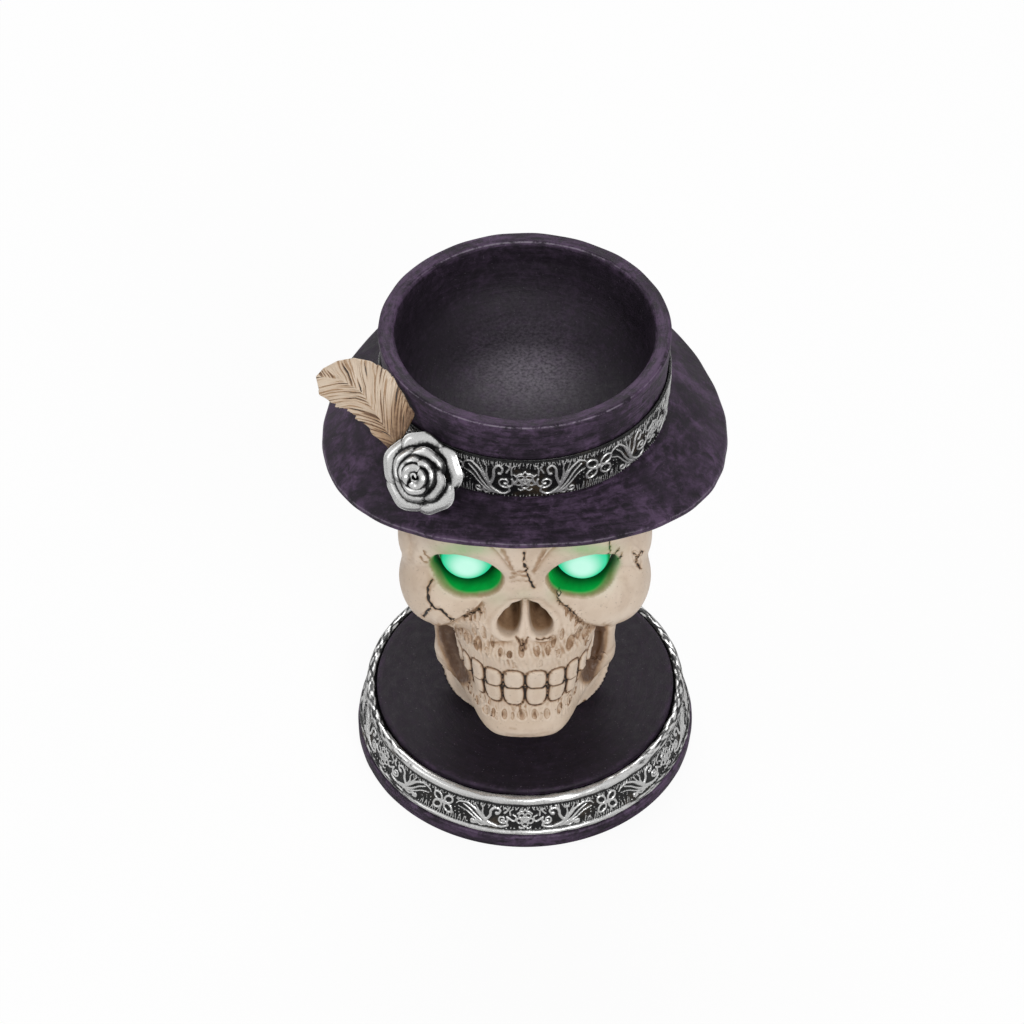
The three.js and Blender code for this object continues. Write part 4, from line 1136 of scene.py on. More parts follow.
@dataclass
class Cranium(Clay):
    """The skull's upper part: cranium, face and upper teeth."""

    forms: tuple[Form, ...] = (
        Ball((0, 0.05, 0.73), (0.515, 0.56, 0.5)),
        Ball((0, -0.14, 0.82), (0.46, 0.38, 0.28), 0.12),
        Ball((0, 0.13, 0.2), (0.3, 0.3, 0.19), 0.12),
        Bone((0.06, -0.465, 0.765), (0.2, -0.47, 0.845), (0.05, 0.05), 0.1),
        Bone((0.2, -0.47, 0.845), (0.3, -0.43, 0.835), (0.05, 0.055), 0.1),
        Bone((0.3, -0.43, 0.835), (0.4, -0.34, 0.66), (0.055, 0.075), 0.1),
        Bone((0.41, -0.28, 0.69), (0.4, -0.28, 0.46), (0.07, 0.085), 0.12),
        Bone((0.15, -0.43, 0.53), (0.31, -0.4, 0.45), (0.05, 0.085), 0.1),
        Ball((0.34, -0.305, 0.385), (0.155, 0.155, 0.165), 0.1),
        Ball((0.22, -0.38, 0.39), (0.14, 0.095, 0.115), 0.08),
        Bone((0.42, -0.18, 0.4), (0.46, 0.12, 0.44), (0.07, 0.06), 0.08),
        Bone((0, -0.41, 0.75), (0, -0.475, 0.57), (0.075, 0.05), 0.08),
        Bone((0.07, -0.46, 0.56), (0.14, -0.44, 0.33), (0.04, 0.05), 0.08),
        Ball((0, -0.26, 0.24), (0.275, 0.265, 0.24), 0.08),
        Arch(0.275, 0.315, -0.205, -0.03, 0.19, 0.0, 0.02, 0.1),
        Bone((0.41, 0.12, 0.36), (0.37, 0.08, 0.14), (0.1, 0.07), 0.12),
    )
    hollows: tuple[Form, ...] = (
        Ball((0.232, -0.46, 0.636), (0.137, 0.2, 0.125), 0.03),
        Ball((0.067, -0.5, 0.36), (0.046, 0.16, 0.064), 0.012),
        Ball((0.055, -0.5, 0.39), (0.04, 0.16, 0.06), 0.012),
        Ball((0.037, -0.5, 0.432), (0.022, 0.16, 0.05), 0.012),
    )
    cavity: Ball = Ball((0, 0.11, 0.7), (0.42, 0.37, 0.38))
    crease_shade_strength: float = 0.42
    view_depth: float = 1463.0
    cup_radius: float = 12.6
    bite_gap: float = 0.25
    mouth_radius: float = 31.0
    mouth_depth: float = 16.0
    tooth_widths: tuple[float, ...] = (9.1, 7.9, 7.0, 6.5, 6.5, 9.0)
    tooth_heights: tuple[float, ...] = (12.2, 11.4, 12.4, 11.0, 9.8, 9.0)
    cracks: tuple[Crack, ...] = (
        Crack(((524.5, 553), (523.6, 564), (527, 568.5), (525.5, 571), (529, 578), (532, 585), (534, 588))),
        Crack(((432.6, 580), (427.5, 588), (428.4, 600), (431.7, 606), (423.8, 615.5)), 0.55),
        Crack(((431.7, 606), (436, 608.5), (441, 610), (445, 613), (449, 618), (453, 619)), 0.5),
        Crack(((464, 616), (470, 613.5), (475.5, 610.5), (479.5, 609), (481.5, 612)), 0.4, 0.5, 0.9),
        Crack(((559.5, 587), (557, 592), (558.8, 597), (561, 592), (559.5, 587)), 0.3, 0.3, 0.8, 0.3),
        Crack(((557, 597.6), (561, 603), (567.5, 607), (574.2, 613), (580, 622)), 0.3, 0.5, 0.8, 0.5),
        Crack(((641.8, 551), (637.4, 557), (634, 553)), 0.35),
        Crack(((637.4, 557), (635.5, 562), (640, 568)), 0.35),
        Crack(((609.6, 542), (610, 552), (608, 554.6)), 0.3),
        Crack(((619, 548), (616, 553), (612.5, 556)), 0.3),
        Crack(((622.5, 553), (620.5, 557), (617.5, 559)), 0.3),
        Crack(((424, 551), (426, 555), (430, 559)), 0.3, 0.3, 0.3, 0.5),
        Crack(((420.5, 557), (423, 560), (427, 562.5)), 0.3, 0.3, 0.2, 0.5),
        Crack(((536.5, 639), (541, 639.6), (546, 638.4), (552, 637)), 0.3, 0.35, 0.6, 0.6),
        Crack(((516.5, 637), (519.5, 641), (520.5, 649)), 0.3, 0.35, 0.5, 0.8),
        Crack(((528.5, 637), (525.5, 641), (524.5, 649)), 0.3, 0.35, 0.5, 0.8),
        Crack(((522.5, 640), (522.5, 650)), 0.25, 0.3, 0.5, 0.8),
        Crack(((502.4, 550), (508, 560), (512, 568.9), (513.9, 572.7)), 0.45, 0.4, 0.0, 0.5),
        Crack(((545, 549.7), (540, 558), (536.8, 565), (534, 571.7)), 0.45, 0.4, 0.0, 0.5),
        Crack(((512, 573), (518, 571.8), (524.5, 571.5)), 0.32, 0.3, 0.0, 0.5),
        Crack(((510.5, 577), (518, 575.6), (525.5, 575.5)), 0.32, 0.3, 0.0, 0.5),
        Crack(((511.5, 581.5), (519, 580.4), (527, 580.5)), 0.32, 0.3, 0.0, 0.4),
        Crack(((409, 534), (413, 545), (411, 558)), 1.3, 0.45, 0.0, 0.22),
        Crack(((437.5, 628), (441, 640), (448, 655)), 1.0, 0.8, 0.0, 0.7),
        Crack(((444, 628), (449, 642), (457, 657)), 0.8, 0.6, 0.0, 0.6),
        Crack(((607, 629), (603, 642), (597, 655)), 1.0, 0.8, 0.0, 0.7),
    )
    pits: tuple[Pit, ...] = (
        Pit(500.5, 652, 2.2, 4.6, 0.8), Pit(509.5, 654.5, 3.0, 3.8, 1.2), Pit(522.5, 643, 4.4, 5.2, 0.9),
        Pit(521.5, 652, 3.0, 6.0, 1.0), Pit(537, 651, 3.4, 5.2, 0.9), Pit(548, 650, 2.2, 5.6, 0.9),
        Pit(541, 663, 2.0, 3.6, 0.5), Pit(514, 665, 2.0, 3.0, 0.5), Pit(483.5, 632, 3.0, 6.6, 0.6, -0.15),
        Pit(474.5, 629, 2.4, 6.0, 0.5, -0.15), Pit(466.5, 638, 2.0, 6.0, 0.5, -0.2),
        Pit(492.5, 641, 2.0, 6.0, 0.7, -0.1), Pit(487, 651, 1.8, 4.6, 0.5, -0.2),
        Pit(476, 645, 1.8, 5.0, 0.5, -0.25), Pit(457, 631, 1.8, 6.4, 0.5, -0.2),
        Pit(553.5, 641, 2.2, 6.8, 0.8, 0.1), Pit(562, 634, 2.2, 6.0, 0.9, 0.15),
        Pit(570, 642, 3.6, 8.0, 0.8, 0.25), Pit(578.5, 632, 2.0, 6.4, 0.8, 0.25),
        Pit(586, 640, 1.8, 6.0, 0.7, 0.3), Pit(558, 653, 1.8, 4.4, 0.5, 0.2),
        Pit(467, 616.5, 1.3, 5.4, 0.3), Pit(471, 616, 1.2, 5.2, 0.3), Pit(475, 615, 1.3, 5.6, 0.4),
        Pit(479.5, 614.5, 1.2, 6.0, 0.4), Pit(485, 613, 1.2, 5.4, 0.3), Pit(566.5, 612, 1.4, 5.2, 0.6, 0.1),
        Pit(571.5, 616, 1.4, 5.2, 0.6, 0.2), Pit(576.5, 621, 1.4, 5.2, 0.5, 0.3),
        Pit(582, 626, 1.4, 5.0, 0.5, 0.3), Pit(588, 630, 1.4, 4.6, 0.4, 0.3),
        Pit(636.5, 558, 4.6, 9.0, 0.9, -0.25),
    )

    folds: tuple[Fold, ...] = (
        Fold(CHEEK_EDGES[0], 0.9, 0.8, 2.6, 0.5),
        Fold(CHEEK_EDGES[1], 0.8, 0.6, 2.6, 0.45),
        Fold(((488, 543), (497, 551), (506, 562), (513.5, 572.5)), 0.4, 0.35, 2.4, 0.55),
        Fold(((534, 572.5), (541, 561), (549, 551), (558, 543)), 0.4, 0.35, 2.4, 0.55),
        Fold(((486, 641), (496, 641.5), (507, 641), (517, 639)), 0.3, 0.35, 1.6, 0.45),
        Fold(((531, 640), (541, 642), (551, 641), (560, 636)), 0.3, 0.35, 1.6, 0.45),
        Fold(SOCKET_EDGES[0], 0.35, 0.0, 1.8, 0.0),
        Fold(SOCKET_EDGES[1], 0.35, 0.0, 1.8, 0.0),
    )
    # Spots of painted green light from the eyes: column and row in the frame, width, height and strength.
    light_spots: tuple[tuple[float, float, float, float, float], ...] = (
        (466.0, 549.0, 34.0, 9.0, 0.36),
        (587.0, 549.0, 32.0, 9.0, 0.36),
        (497.0, 598.0, 16.0, 10.0, 0.16),
        (553.0, 594.0, 12.0, 10.0, 0.16),
        (524.0, 594.0, 14.0, 8.0, 0.12),
    )
    fold_edge: tuple[Pair, ...] = (
        (430, 629), (452, 622), (471, 613), (480, 608), (486, 612), (491, 634), (500, 641), (525, 641),
        (550, 641), (558, 628), (562, 607), (573, 615), (588, 625), (618, 630),
    )

    def mass(self, p: Array) -> Array:
        """Distance from the plain forms, in millimetres."""
        q = self.shares(p.copy())
        bone = self.joined(q, self.forms)
        for hollow in self.hollows:
            bone = smooth_max(bone, -hollow.distance(q) * self.width, hollow.blend * self.width)
        bone = smooth_max(bone, BITE + self.bite_gap - p[:, 2], 0.6)
        bone = smooth_max(bone, p[:, 2] - CROWN_SEAT, 0.6)
        side = np.abs(p[:, 0])
        sleeve = np.hypot(side - EYE[0], p[:, 2] - EYE[2]) - self.cup_radius
        sleeve = np.maximum(sleeve, np.maximum(EYE[1] - 5.75 - p[:, 1], p[:, 1] - EYE[1] - 24.0))
        mouth = np.hypot(p[:, 0], p[:, 1]) - self.mouth_radius
        mouth = np.maximum(mouth, CROWN_SEAT - self.mouth_depth - p[:, 2])
        neck = np.hypot(p[:, 0], p[:, 1] - NECK_SETBACK) - 23.5
        neck = np.maximum(neck, p[:, 2] - BITE - 18.4)
        for room in (sleeve, mouth, neck, self.cavity.distance(q) * self.width):
            bone = np.maximum(bone, -room)
        return bone

    def touch(self, p: Array) -> Touch:
        """Teeth, cracks, creases and pits at each point."""
        work = Touch.none(len(p))
        front = np.flatnonzero((p[:, 1] < -8.0) & (p[:, 2] > BITE - 3) & (p[:, 2] < 170.0))
        if len(front) == 0:
            return work
        spots = p[front]
        part = Touch.none(len(front))
        seen = VIEW.seen(spots)
        scale = VIEW.focal / self.view_depth
        room = self.socket_room(spots)
        outside = smooth(room, 1.0, 4.0)
        shaky = seen + 0.55 * np.stack([ripple(spots, 1.1, 41), ripple(spots, 1.1, 42)], axis=1)
        swell = 1.0 + 0.32 * ripple(spots, 1.6, 43)
        for crack in self.cracks:
            away = line_distance(shaky, crack.stops) / scale / np.maximum(swell, 0.45)
            part.groove(away, crack.width, crack.depth * outside, crack.ink, crack.wash)
        press_pits(part, seen, self.pits)
        press_folds(part, seen, self.folds, scale)
        self.nose(part, spots)
        depth = -self.joined(self.shares(spots.copy()), self.forms)
        rim = bell(depth - 1.1, 1.2) * (room < 2.0) * self.in_sockets(seen)
        part.stain(rim * (0.55 - 0.4 * smooth(spots[:, 2], EYE[2] - 1.0, EYE[2] + 6.0)))
        self.wrinkle(part, spots, seen)
        self.teeth(part, spots)
        work.height[front] = part.height
        work.wash[front] = part.wash
        work.ink[front] = part.ink
        work.near_line[front] = part.near_line
        return work

    def in_sockets(self, seen: Array) -> Array:
        """Where the eyes' hollows are painted, from their outer ends inwards, from 0 to 1."""
        return smooth(seen[:, 0], 424.0, 434.0) * (1.0 - smooth(seen[:, 0], 609.0, 619.0))

    def socket_room(self, p: Array) -> Array:
        """Distance from the hollows of the eyes, in millimetres."""
        return self.hollows[0].distance(self.shares(p.copy())) * self.width

    def nose(self, part: Touch, p: Array) -> None:
        """Raises the rim of the nose and darkens its inside."""
        q = self.shares(p.copy())
        room = np.minimum.reduce([form.distance(q) for form in self.hollows[1:]]) * self.width
        part.height += 0.5 * bell(room - 1.5, 0.95)
        part.height -= 0.16 * bell(room - 3.6, 0.9)
        depth = smooth(-self.joined(q, self.forms), 0.3, 5.5) * (room < 1.4)
        part.stain(depth * 0.64)
        part.stain(0.2 * bell(room - 3.4, 1.0))
        part.mark(np.abs(room) < 3.0, 1.5)

    def wrinkle(self, part: Touch, p: Array, seen: Array) -> None:
        """Draws upright folds into the bone between the teeth and the cheeks."""
        arch = self.arch
        walked = arch.walked(self.shares(p.copy())) * self.width * np.sign(p[:, 0])
        edge = line_height(seen[:, 0], self.fold_edge)
        shown = smooth(seen[:, 1] - edge, -1.0, 5.0) * smooth(p[:, 2] - BITE, 10.5, 14.5)
        wrinkled(part, walked, p[:, 2], shown * (p[:, 1] < -14.0), 61)

    def teeth(self, part: Touch, p: Array) -> None:
        """Raises the teeth and cuts the lines round them."""
        arch = self.arch
        q = self.shares(p.copy())
        walked = arch.walked(q) * self.width
        outline_teeth(part, walked, p[:, 2] - BITE, self.tooth_widths, self.tooth_heights)


def press_pits(part: Touch, seen: Array, pits: Sequence[Pit]) -> None:
    """Presses almond-shaped pits with raised rims."""
    for pit in pits:
        x, y = seen[:, 0] - pit.x, seen[:, 1] - pit.y
        across = (x + pit.lean * y) / pit.half_width
        away = np.sqrt(across**2 + (y / pit.half_height) ** 2)
        part.height -= 0.5 * pit.depth * (1.0 - smooth(away, 0.1, 1.1))
        part.height += 0.3 * bell(away - 1.3, 0.24)
        ring = bell(away - 0.86, 0.34 / max(pit.half_width, 1.0))
        part.stain((0.22 + 0.2 * pit.depth) * ring)
        part.stain((0.04 + 0.1 * pit.depth) * (1.0 - smooth(away, 0.5, 1.1)))
        part.mark(away < 1.7, 1.5)


def press_folds(part: Touch, seen: Array, folds: Sequence[Fold], scale: float) -> None:
    """Lifts the side above each fold and paints the side below it darker, brown wash and painted shade under
    the edge.

    Args:
        part: The work so far.
        seen: Places in the frame.
        folds: The folds.
        scale: Pixels in a millimetre.
    """
    for fold in folds:
        off, end = beside_line(seen, fold.stops)
        off, end = off / scale, end / scale
        fade = smooth(end, 0.0, 2.4) * (np.abs(off) < 14.0)
        above = 0.5 + 0.5 * np.tanh(off / 0.32)
        part.height += fade * above * fold.rise * np.exp(-np.abs(off) / fold.reach)
        part.height -= fade * (1.0 - above) * fold.dip * np.exp(-np.abs(off) / (0.6 * fold.reach))
        # Painted shade with the wash under the standing side.
        part.stain(fade * (1.0 - above) * fold.wash * np.exp(-np.abs(off) / 1.3))
        part.mark((np.abs(off) < 1.5) & (fade > 0.1), 0.9)


def wrinkled(part: Touch, walked: Array, level: Array, shown: Array, seed: int) -> None:
    """Draws upright folds of uneven depth, washed in their valleys.

    Args:
        part: The work so far.
        walked: Length along the bone, in millimetres.
        level: Height, in millimetres.
        shown: Where the folds are, from 0 to 1.
        seed: Which unevenness.
    """
    spots = np.stack([walked, 0.22 * level], axis=1)
    wave = 0.75 * ripple(spots, 1.15, seed) + 0.5 * ripple(spots, 0.7, seed + 1)
    strength = 0.75 + 0.35 * ripple(np.stack([walked, level], axis=1), 5.0, seed + 2)
    ridge = np.tanh(1.3 * wave) * np.clip(strength, 0.2, 1.3)
    part.height += 0.3 * shown * ridge
    part.stain(0.34 * shown * smooth(-ridge, 0.3, 1.0))
    part.mark(shown > 0.15, 1.5)


def outline_teeth(
    part: Touch,
    walked: Array,
    above: Array,
    widths: Sequence[float],
    heights: Sequence[float],
) -> None:
    """Raises a row of teeth on an arch and cuts the lines round them.

    Args:
        part: The work so far.
        walked: Length along the arch from its front, in millimetres.
        above: Height from the bite line towards the gums, in millimetres.
        widths: The teeth's widths from the front backwards.
        heights: Their heights.
    """
    start = 0.0
    power = 2.7
    for width, height in zip(widths, heights):
        across = (walked - start - width / 2) / (width / 2)
        up = above / height
        waist = 0.42
        level = np.where(up > waist, (up - waist) / (1.0 - waist), (waist - up) / (waist + 0.06))
        ring = (np.abs(across) ** power + np.abs(level) ** power + 1e-9) ** (1.0 / power)
        slope = np.where(np.abs(across) > np.abs(level), width / 2, height * (1.0 - waist))
        away = (ring - 1.0) * slope
        crown = (1.0 - smooth(away, -2.2, 0.0)) * 0.9
        part.height += np.where(ring < 1.0, crown, 0.0)
        between = (np.abs(across) > 0.84) & (up < 0.7)
        tone = np.where(between, 0.96, 0.72)
        width_here = np.where(between, 0.34, 0.24)
        line = np.abs(away + 0.08)
        near = (np.abs(across) < 1.25) & (up < 1.3) & (up > -0.4)
        cut = bell(line, width_here) * near
        part.height -= 0.55 * cut
        part.draw(tone * near * (1.0 - smooth(line, 0.5 * width_here, 1.25 * width_here)))
        part.stain(near * 0.62 * bell(line, 0.8))
        part.mark(near, line)
        start += width
    row = (walked < start) & (above < 2.4)
    part.stain(row * 1.1 * (1.0 - smooth(np.abs(above), 0.6, 2.0)))
    part.draw(row * (1.0 - smooth(np.abs(above), 0.85, 1.35)))
    part.mark(row, np.abs(above))


@dataclass
class Jaw(Clay):
    """The lower jaw with its teeth and the branches that rise behind the cheeks."""

    forms: tuple[Form, ...] = (
        Bone((0, -0.435, -0.27), (0.075, -0.42, -0.265), (0.075, 0.07)),
        Bone((0.07, -0.415, -0.265), (0.3, -0.14, -0.19), (0.07, 0.065), 0.09),
        Arch(0.272, 0.305, -0.2, -0.26, 0.03, 0.72, 0.03, 0.09),
        Bone((0.3, -0.08, -0.21), (0.355, -0.03, 0.27), (0.06, 0.055), 0.06),
        Bone((0.305, -0.15, -0.14), (0.35, -0.14, 0.22), (0.06, 0.05), 0.06),
        Ball((0.325, -0.06, -0.28), (0.035, 0.05, 0.04), 0.03),
    )
    view_depth: float = 1500.0
    bite_gap: float = 0.25
    tooth_widths: tuple[float, ...] = (9.9, 8.6, 7.0, 6.0, 6.0, 8.0)
    tooth_heights: tuple[float, ...] = (12.0, 11.4, 10.6, 9.6, 8.6, 7.6)
    pits: tuple[Pit, ...] = (
        Pit(486.5, 709.5, 3.6, 4.8, 1.0, -0.1), Pit(493.5, 712.5, 2.2, 4.6, 0.7),
        Pit(504.5, 714, 2.8, 5.4, 1.2), Pit(522, 714.5, 5.0, 5.6, 1.2), Pit(534.5, 714, 3.2, 5.4, 0.9),
        Pit(547, 713.5, 3.2, 5.6, 1.1), Pit(559.5, 708, 2.4, 5.6, 0.9, 0.15),
        Pit(569, 700, 1.8, 5.6, 0.7, 0.2), Pit(574, 691, 1.8, 4.6, 0.7, 0.3),
        Pit(478, 700, 2.2, 4.8, 0.8, -0.2), Pit(470, 689, 1.8, 4.8, 0.6, -0.3),
        Pit(497, 716, 1.6, 4.0, 0.4), Pit(512.5, 716, 1.6, 4.0, 0.4), Pit(541, 716, 1.4, 4.0, 0.4),
    )
    cracks: tuple[Crack, ...] = (
        Crack(((506, 734), (518, 735.6), (534, 735), (548, 732)), 0.5, 0.2, 0.0, 0.16),
        Crack(((510, 728), (516, 729)), 0.3, 0.1, 0.0, 0.3),
        Crack(((444.5, 627), (446, 638), (451, 651), (457, 665), (463, 677)), 1.5, 1.0, 0.0, 1.25),
        Crack(((439, 632), (440, 644), (446, 656)), 0.7, 0.4, 0.0, 0.55),
        Crack(((598, 627), (597.5, 643), (593, 658), (588, 675)), 1.5, 1.0, 0.0, 1.25),
        Crack(((606, 632), (604.5, 646), (600, 658)), 0.7, 0.4, 0.0, 0.55),
    )

    def mass(self, p: Array) -> Array:
        """Distance from the plain forms, in millimetres."""
        q = self.shares(p.copy())
        total = np.full(len(p), np.inf)
        for form in self.forms:
            away = form.distance(q)
            if isinstance(form, Arch):
                away = smooth_max(away, q[:, 2] + self.bite_gap / self.width, 0.006)
            total = smooth_min(total, away, form.blend)
        bone = total * self.width
        lid = smooth(p[:, 1], -20.0, -14.0) * 40.0
        bone = smooth_max(bone, p[:, 2] - BITE + self.bite_gap - lid, 0.6)
        neck = np.hypot(p[:, 0], p[:, 1] - NECK_SETBACK) - 26.0
        return np.maximum(bone, -neck)

    def touch(self, p: Array) -> Touch:
        """Teeth and pits at each point."""
        work = Touch.none(len(p))
        seen = VIEW.seen(p)
        scale = VIEW.focal / self.view_depth
        for crack in self.cracks:
            away = line_distance(seen, crack.stops) / scale
            work.groove(away, crack.width, crack.depth, crack.ink, crack.wash)
        front = p[:, 1] < -14.0
        part = Touch.none(len(p))
        press_pits(part, seen, self.pits)
        arch = self.arch
        walked = arch.walked(self.shares(p.copy())) * self.width
        below = BITE - p[:, 2]
        shown = smooth(below, 9.5, 13.0) * (1.0 - smooth(below - 0.12 * walked, 15.5, 20.5))
        wrinkled(part, walked * np.sign(p[:, 0]), p[:, 2], shown, 71)
        outline_teeth(part, walked, below, self.tooth_widths, self.tooth_heights)
        work.height += part.height * front
        work.wash = np.maximum(work.wash, part.wash * front)
        work.ink = np.maximum(work.ink, part.ink * front)
        work.near_line = np.where(front, np.minimum(work.near_line, part.near_line), work.near_line)
        return work


@dataclass
class Spine(Clay):
    """The neck: stacked bones with knobs and strands that spread over the base."""

    foot: float = PLINTH_TOP
    top: float = 96.3
    bore: float = 6.0
    foot_radius: float = 36.2
    shaft_radius: float = 25.0
    top_radius: float = 21.0
    flare_height: float = 16.0
    flare_power: float = 1.8
    rings: int = 5
    strand_pitch: float = 2.1
    knob: Ball = Ball((27.0, 0.0, 14.0), (8.5, 7.0, 5.2))

    def mass(self, p: Array) -> Array:
        """Distance from the plain forms, in millimetres."""
        x, y, z = p[:, 0], p[:, 1] - NECK_SETBACK, p[:, 2]
        turn = np.arctan2(x, -y)
        low = np.clip((z - self.foot) / self.flare_height, 0.0, 1.0)
        flare = (self.foot_radius - self.shaft_radius) * (1.0 - low) ** self.flare_power
        tall = self.top - self.foot - self.flare_height
        rise = np.clip((z - self.foot - self.flare_height) / tall, 0.0, 1.0)
        shaft = self.shaft_radius + (self.top_radius - self.shaft_radius) * rise
        ring = 0.62 * (1.0 - np.cos(math.tau * self.rings * rise))
        wander = 0.8 * np.sin(2.0 * turn + 0.7) + 0.5 * np.sin(5.0 * turn)
        strand = 0.32 * (1.0 + np.sin(math.tau * (z - self.foot + wander) / self.strand_pitch))
        strand = strand * (1.0 - smooth(z, 38.0, 46.0))
        fold = 0.35 * np.cos(15.0 * turn + 0.9 * np.sin(z / 5.0)) * smooth(low, 0.1, 0.5)
        body = (np.hypot(x, y) - shaft - ring - flare - strand - fold) * 0.85
        knob = self.knob.distance(np.stack([np.abs(x), p[:, 1], z - self.foot], axis=1))
        body = smooth_min(body, knob, 1.6)
        body = smooth_max(body, z - self.top, 0.8)
        body = np.maximum(body, self.foot - z)
        return np.maximum(body, self.bore - np.hypot(x, y))


@dataclass(frozen=True)
class SkullMaker:
    """The bone pieces of the holder."""

    fine: float = 0.62
    coarse: float = 1.5

    def build(self) -> None:
        """Makes the skull, the jaw and the neck and dresses them."""
        scale = 1.0
        fine, coarse = self.fine * scale, self.coarse * scale
        skull_axes = (
            marks(-55.0, 55.0, 0.8 * scale),
            np.concatenate([marks(-58.0, -18.0, fine), marks(-17.0, 64.0, coarse)]),
            np.concatenate([marks(76.8, 160.0, 0.72 * scale), marks(161.0, 190.5, coarse)]),
        )
        jaw_axes = (marks(-42.0, 42.0, fine), marks(-56.0, 6.0, fine), marks(38.0, 113.0, fine))
        step = 0.9 * scale
        spine_axes = (marks(-38.5, 38.5, step), marks(-26.5, 50.5, step), marks(25.0, 99.0, 0.6 * scale))
        works = (
            (Cranium(), "skull_bone", "skull", skull_axes),
            (Jaw(), "jaw_bone", "lower_jaw", jaw_axes),
            (Spine(), "neck_bone", "neck_column", spine_axes),
        )
        for clay, name, node, axes in works:
            piece = clay.carve(name, axes)
            self.light(piece)
            dress(piece, Finish.BONE, node)

    def light(self, piece: Piece) -> None:
        """Paints the green light that falls from the eyes, with spots of painted light above them and beside
        the nose, and the painted shade round the domes.
        """
        p = places(piece)
        way = normals_of(piece)
        side = p.copy()
        side[:, 0] = np.abs(side[:, 0])
        facing = way.copy()
        facing[:, 0] *= np.sign(p[:, 0])
        towards = np.array(EYE) - (0.0, 4.0, 0.0) - side
        reach = np.linalg.norm(towards, axis=1)
        faced = np.einsum("ij,ij->i", facing, towards) / np.maximum(reach, 1e-6)
        skull = Cranium()
        near = skull.socket_room(p) < 1.8
        deep = -skull.joined(skull.shares(p.copy()), skull.forms) * near
        spill = 0.4 * np.exp(-np.maximum(reach - 13.0, 0.0) / 5.0) * np.clip(faced + 0.45, 0.0, 1.0)
        seen = VIEW.seen(p)
        # Painted green light in spots above the eyes and beside the nose.
        for x, y, wide, high, strength in skull.light_spots:
            away = ((seen[:, 0] - x) / wide) ** 2 + ((seen[:, 1] - y) / high) ** 2
            spill = np.maximum(spill, strength * np.exp(-away))
        front = p[:, 1] < -25.0
        paint(piece, "glow", front * np.maximum(smooth(deep, 0.2, 3.0) * skull.in_sockets(seen), spill))
        # Painted shade: the socket's bone right round each dome is painted darker.
        from_eye = np.linalg.norm(side - np.array(EYE), axis=1)
        paint(piece, "dome_shade", front * near * (1.0 - smooth(from_eye, 12.4, 16.4)) * (deep > 0.5))


# Eyes


@dataclass(frozen=True)
class Eyes:
    """The glowing domes and the light works behind them."""

    radius: float = 11.5
    shell: float = 1.2
    steps: int = 40

    def build(self) -> None:
        """Makes both domes, cups and diodes."""
        for side, name in ((-1.0, "left"), (1.0, "right")):
            dress(self.dome(side, name), Finish.EYE, f"eye_dome_{name}")
            dress(self.cup(side, name), Finish.WHITE, f"led_cup_{name}")
            dress(self.diode(side, name), Finish.LED, f"eye_led_{name}")

    def stand(self, piece: Piece, side: float) -> Piece:
        """Turns a piece spun about Z to look along -Y and sets it in its socket."""
        piece.rotation_euler = (math.pi / 2, 0.0, 0.0)
        piece.location = (side * EYE[0] * MM, EYE[1] * MM, EYE[2] * MM)
        return settle(piece, piece.name)

    def dome(self, side: float, name: str) -> Piece:
        """A thin dome with its bright heart where the light shows."""
        inner = self.radius - self.shell
        turn = [math.pi / 2 * i / self.steps for i in range(self.steps + 1)]
        outside = [(self.radius * math.cos(a), self.radius * math.sin(a)) for a in turn]
        inside = [(inner * math.cos(a), inner * math.sin(a)) for a in reversed(turn)]
        piece = spun(f"dome_{name}", outside + inside, 4 * self.steps)
        piece = self.stand(piece, side)
        p = places(piece)
        bright = np.array((side * EYE[0] - 0.4, EYE[1] - 11.3, EYE[2] + 1.2))
        away = np.linalg.norm((p - bright) * (0.9, 1.0, 1.0), axis=1)
        paint(piece, "heart", 1.0 - np.clip(away / 13.0, 0.0, 1.0))
        return piece

    def cup(self, side: float, name: str) -> Piece:
        """A white cup with a hole for the lead."""
        lip = self.radius - self.shell
        profile = [
            (1.3, -20.0, 0.0),
            (12.2, -20.0, 0.6),
            (12.2, 0.0, 0.2),
            (lip, 0.0, 0.0),
            (9.8, -1.2, 0.3),
            (9.8, -18.8, 1.0),
            (1.3, -18.8, 0.0),
        ]
        return self.stand(spun(f"cup_{name}", rounded_profile(profile), 64), side)

    def diode(self, side: float, name: str) -> Piece:
        """A clear diode with its flange."""
        tip = [(2.5 * math.cos(a), -12.7 + 2.5 * math.sin(a)) for a in np.linspace(0, math.pi / 2, 10)]
        profile = [(0.0, -18.8), (2.9, -18.8), (2.9, -17.8), (2.5, -17.8), *tip]
        return self.stand(spun(f"diode_{name}", profile, 32, closed=False), side)


# Hat


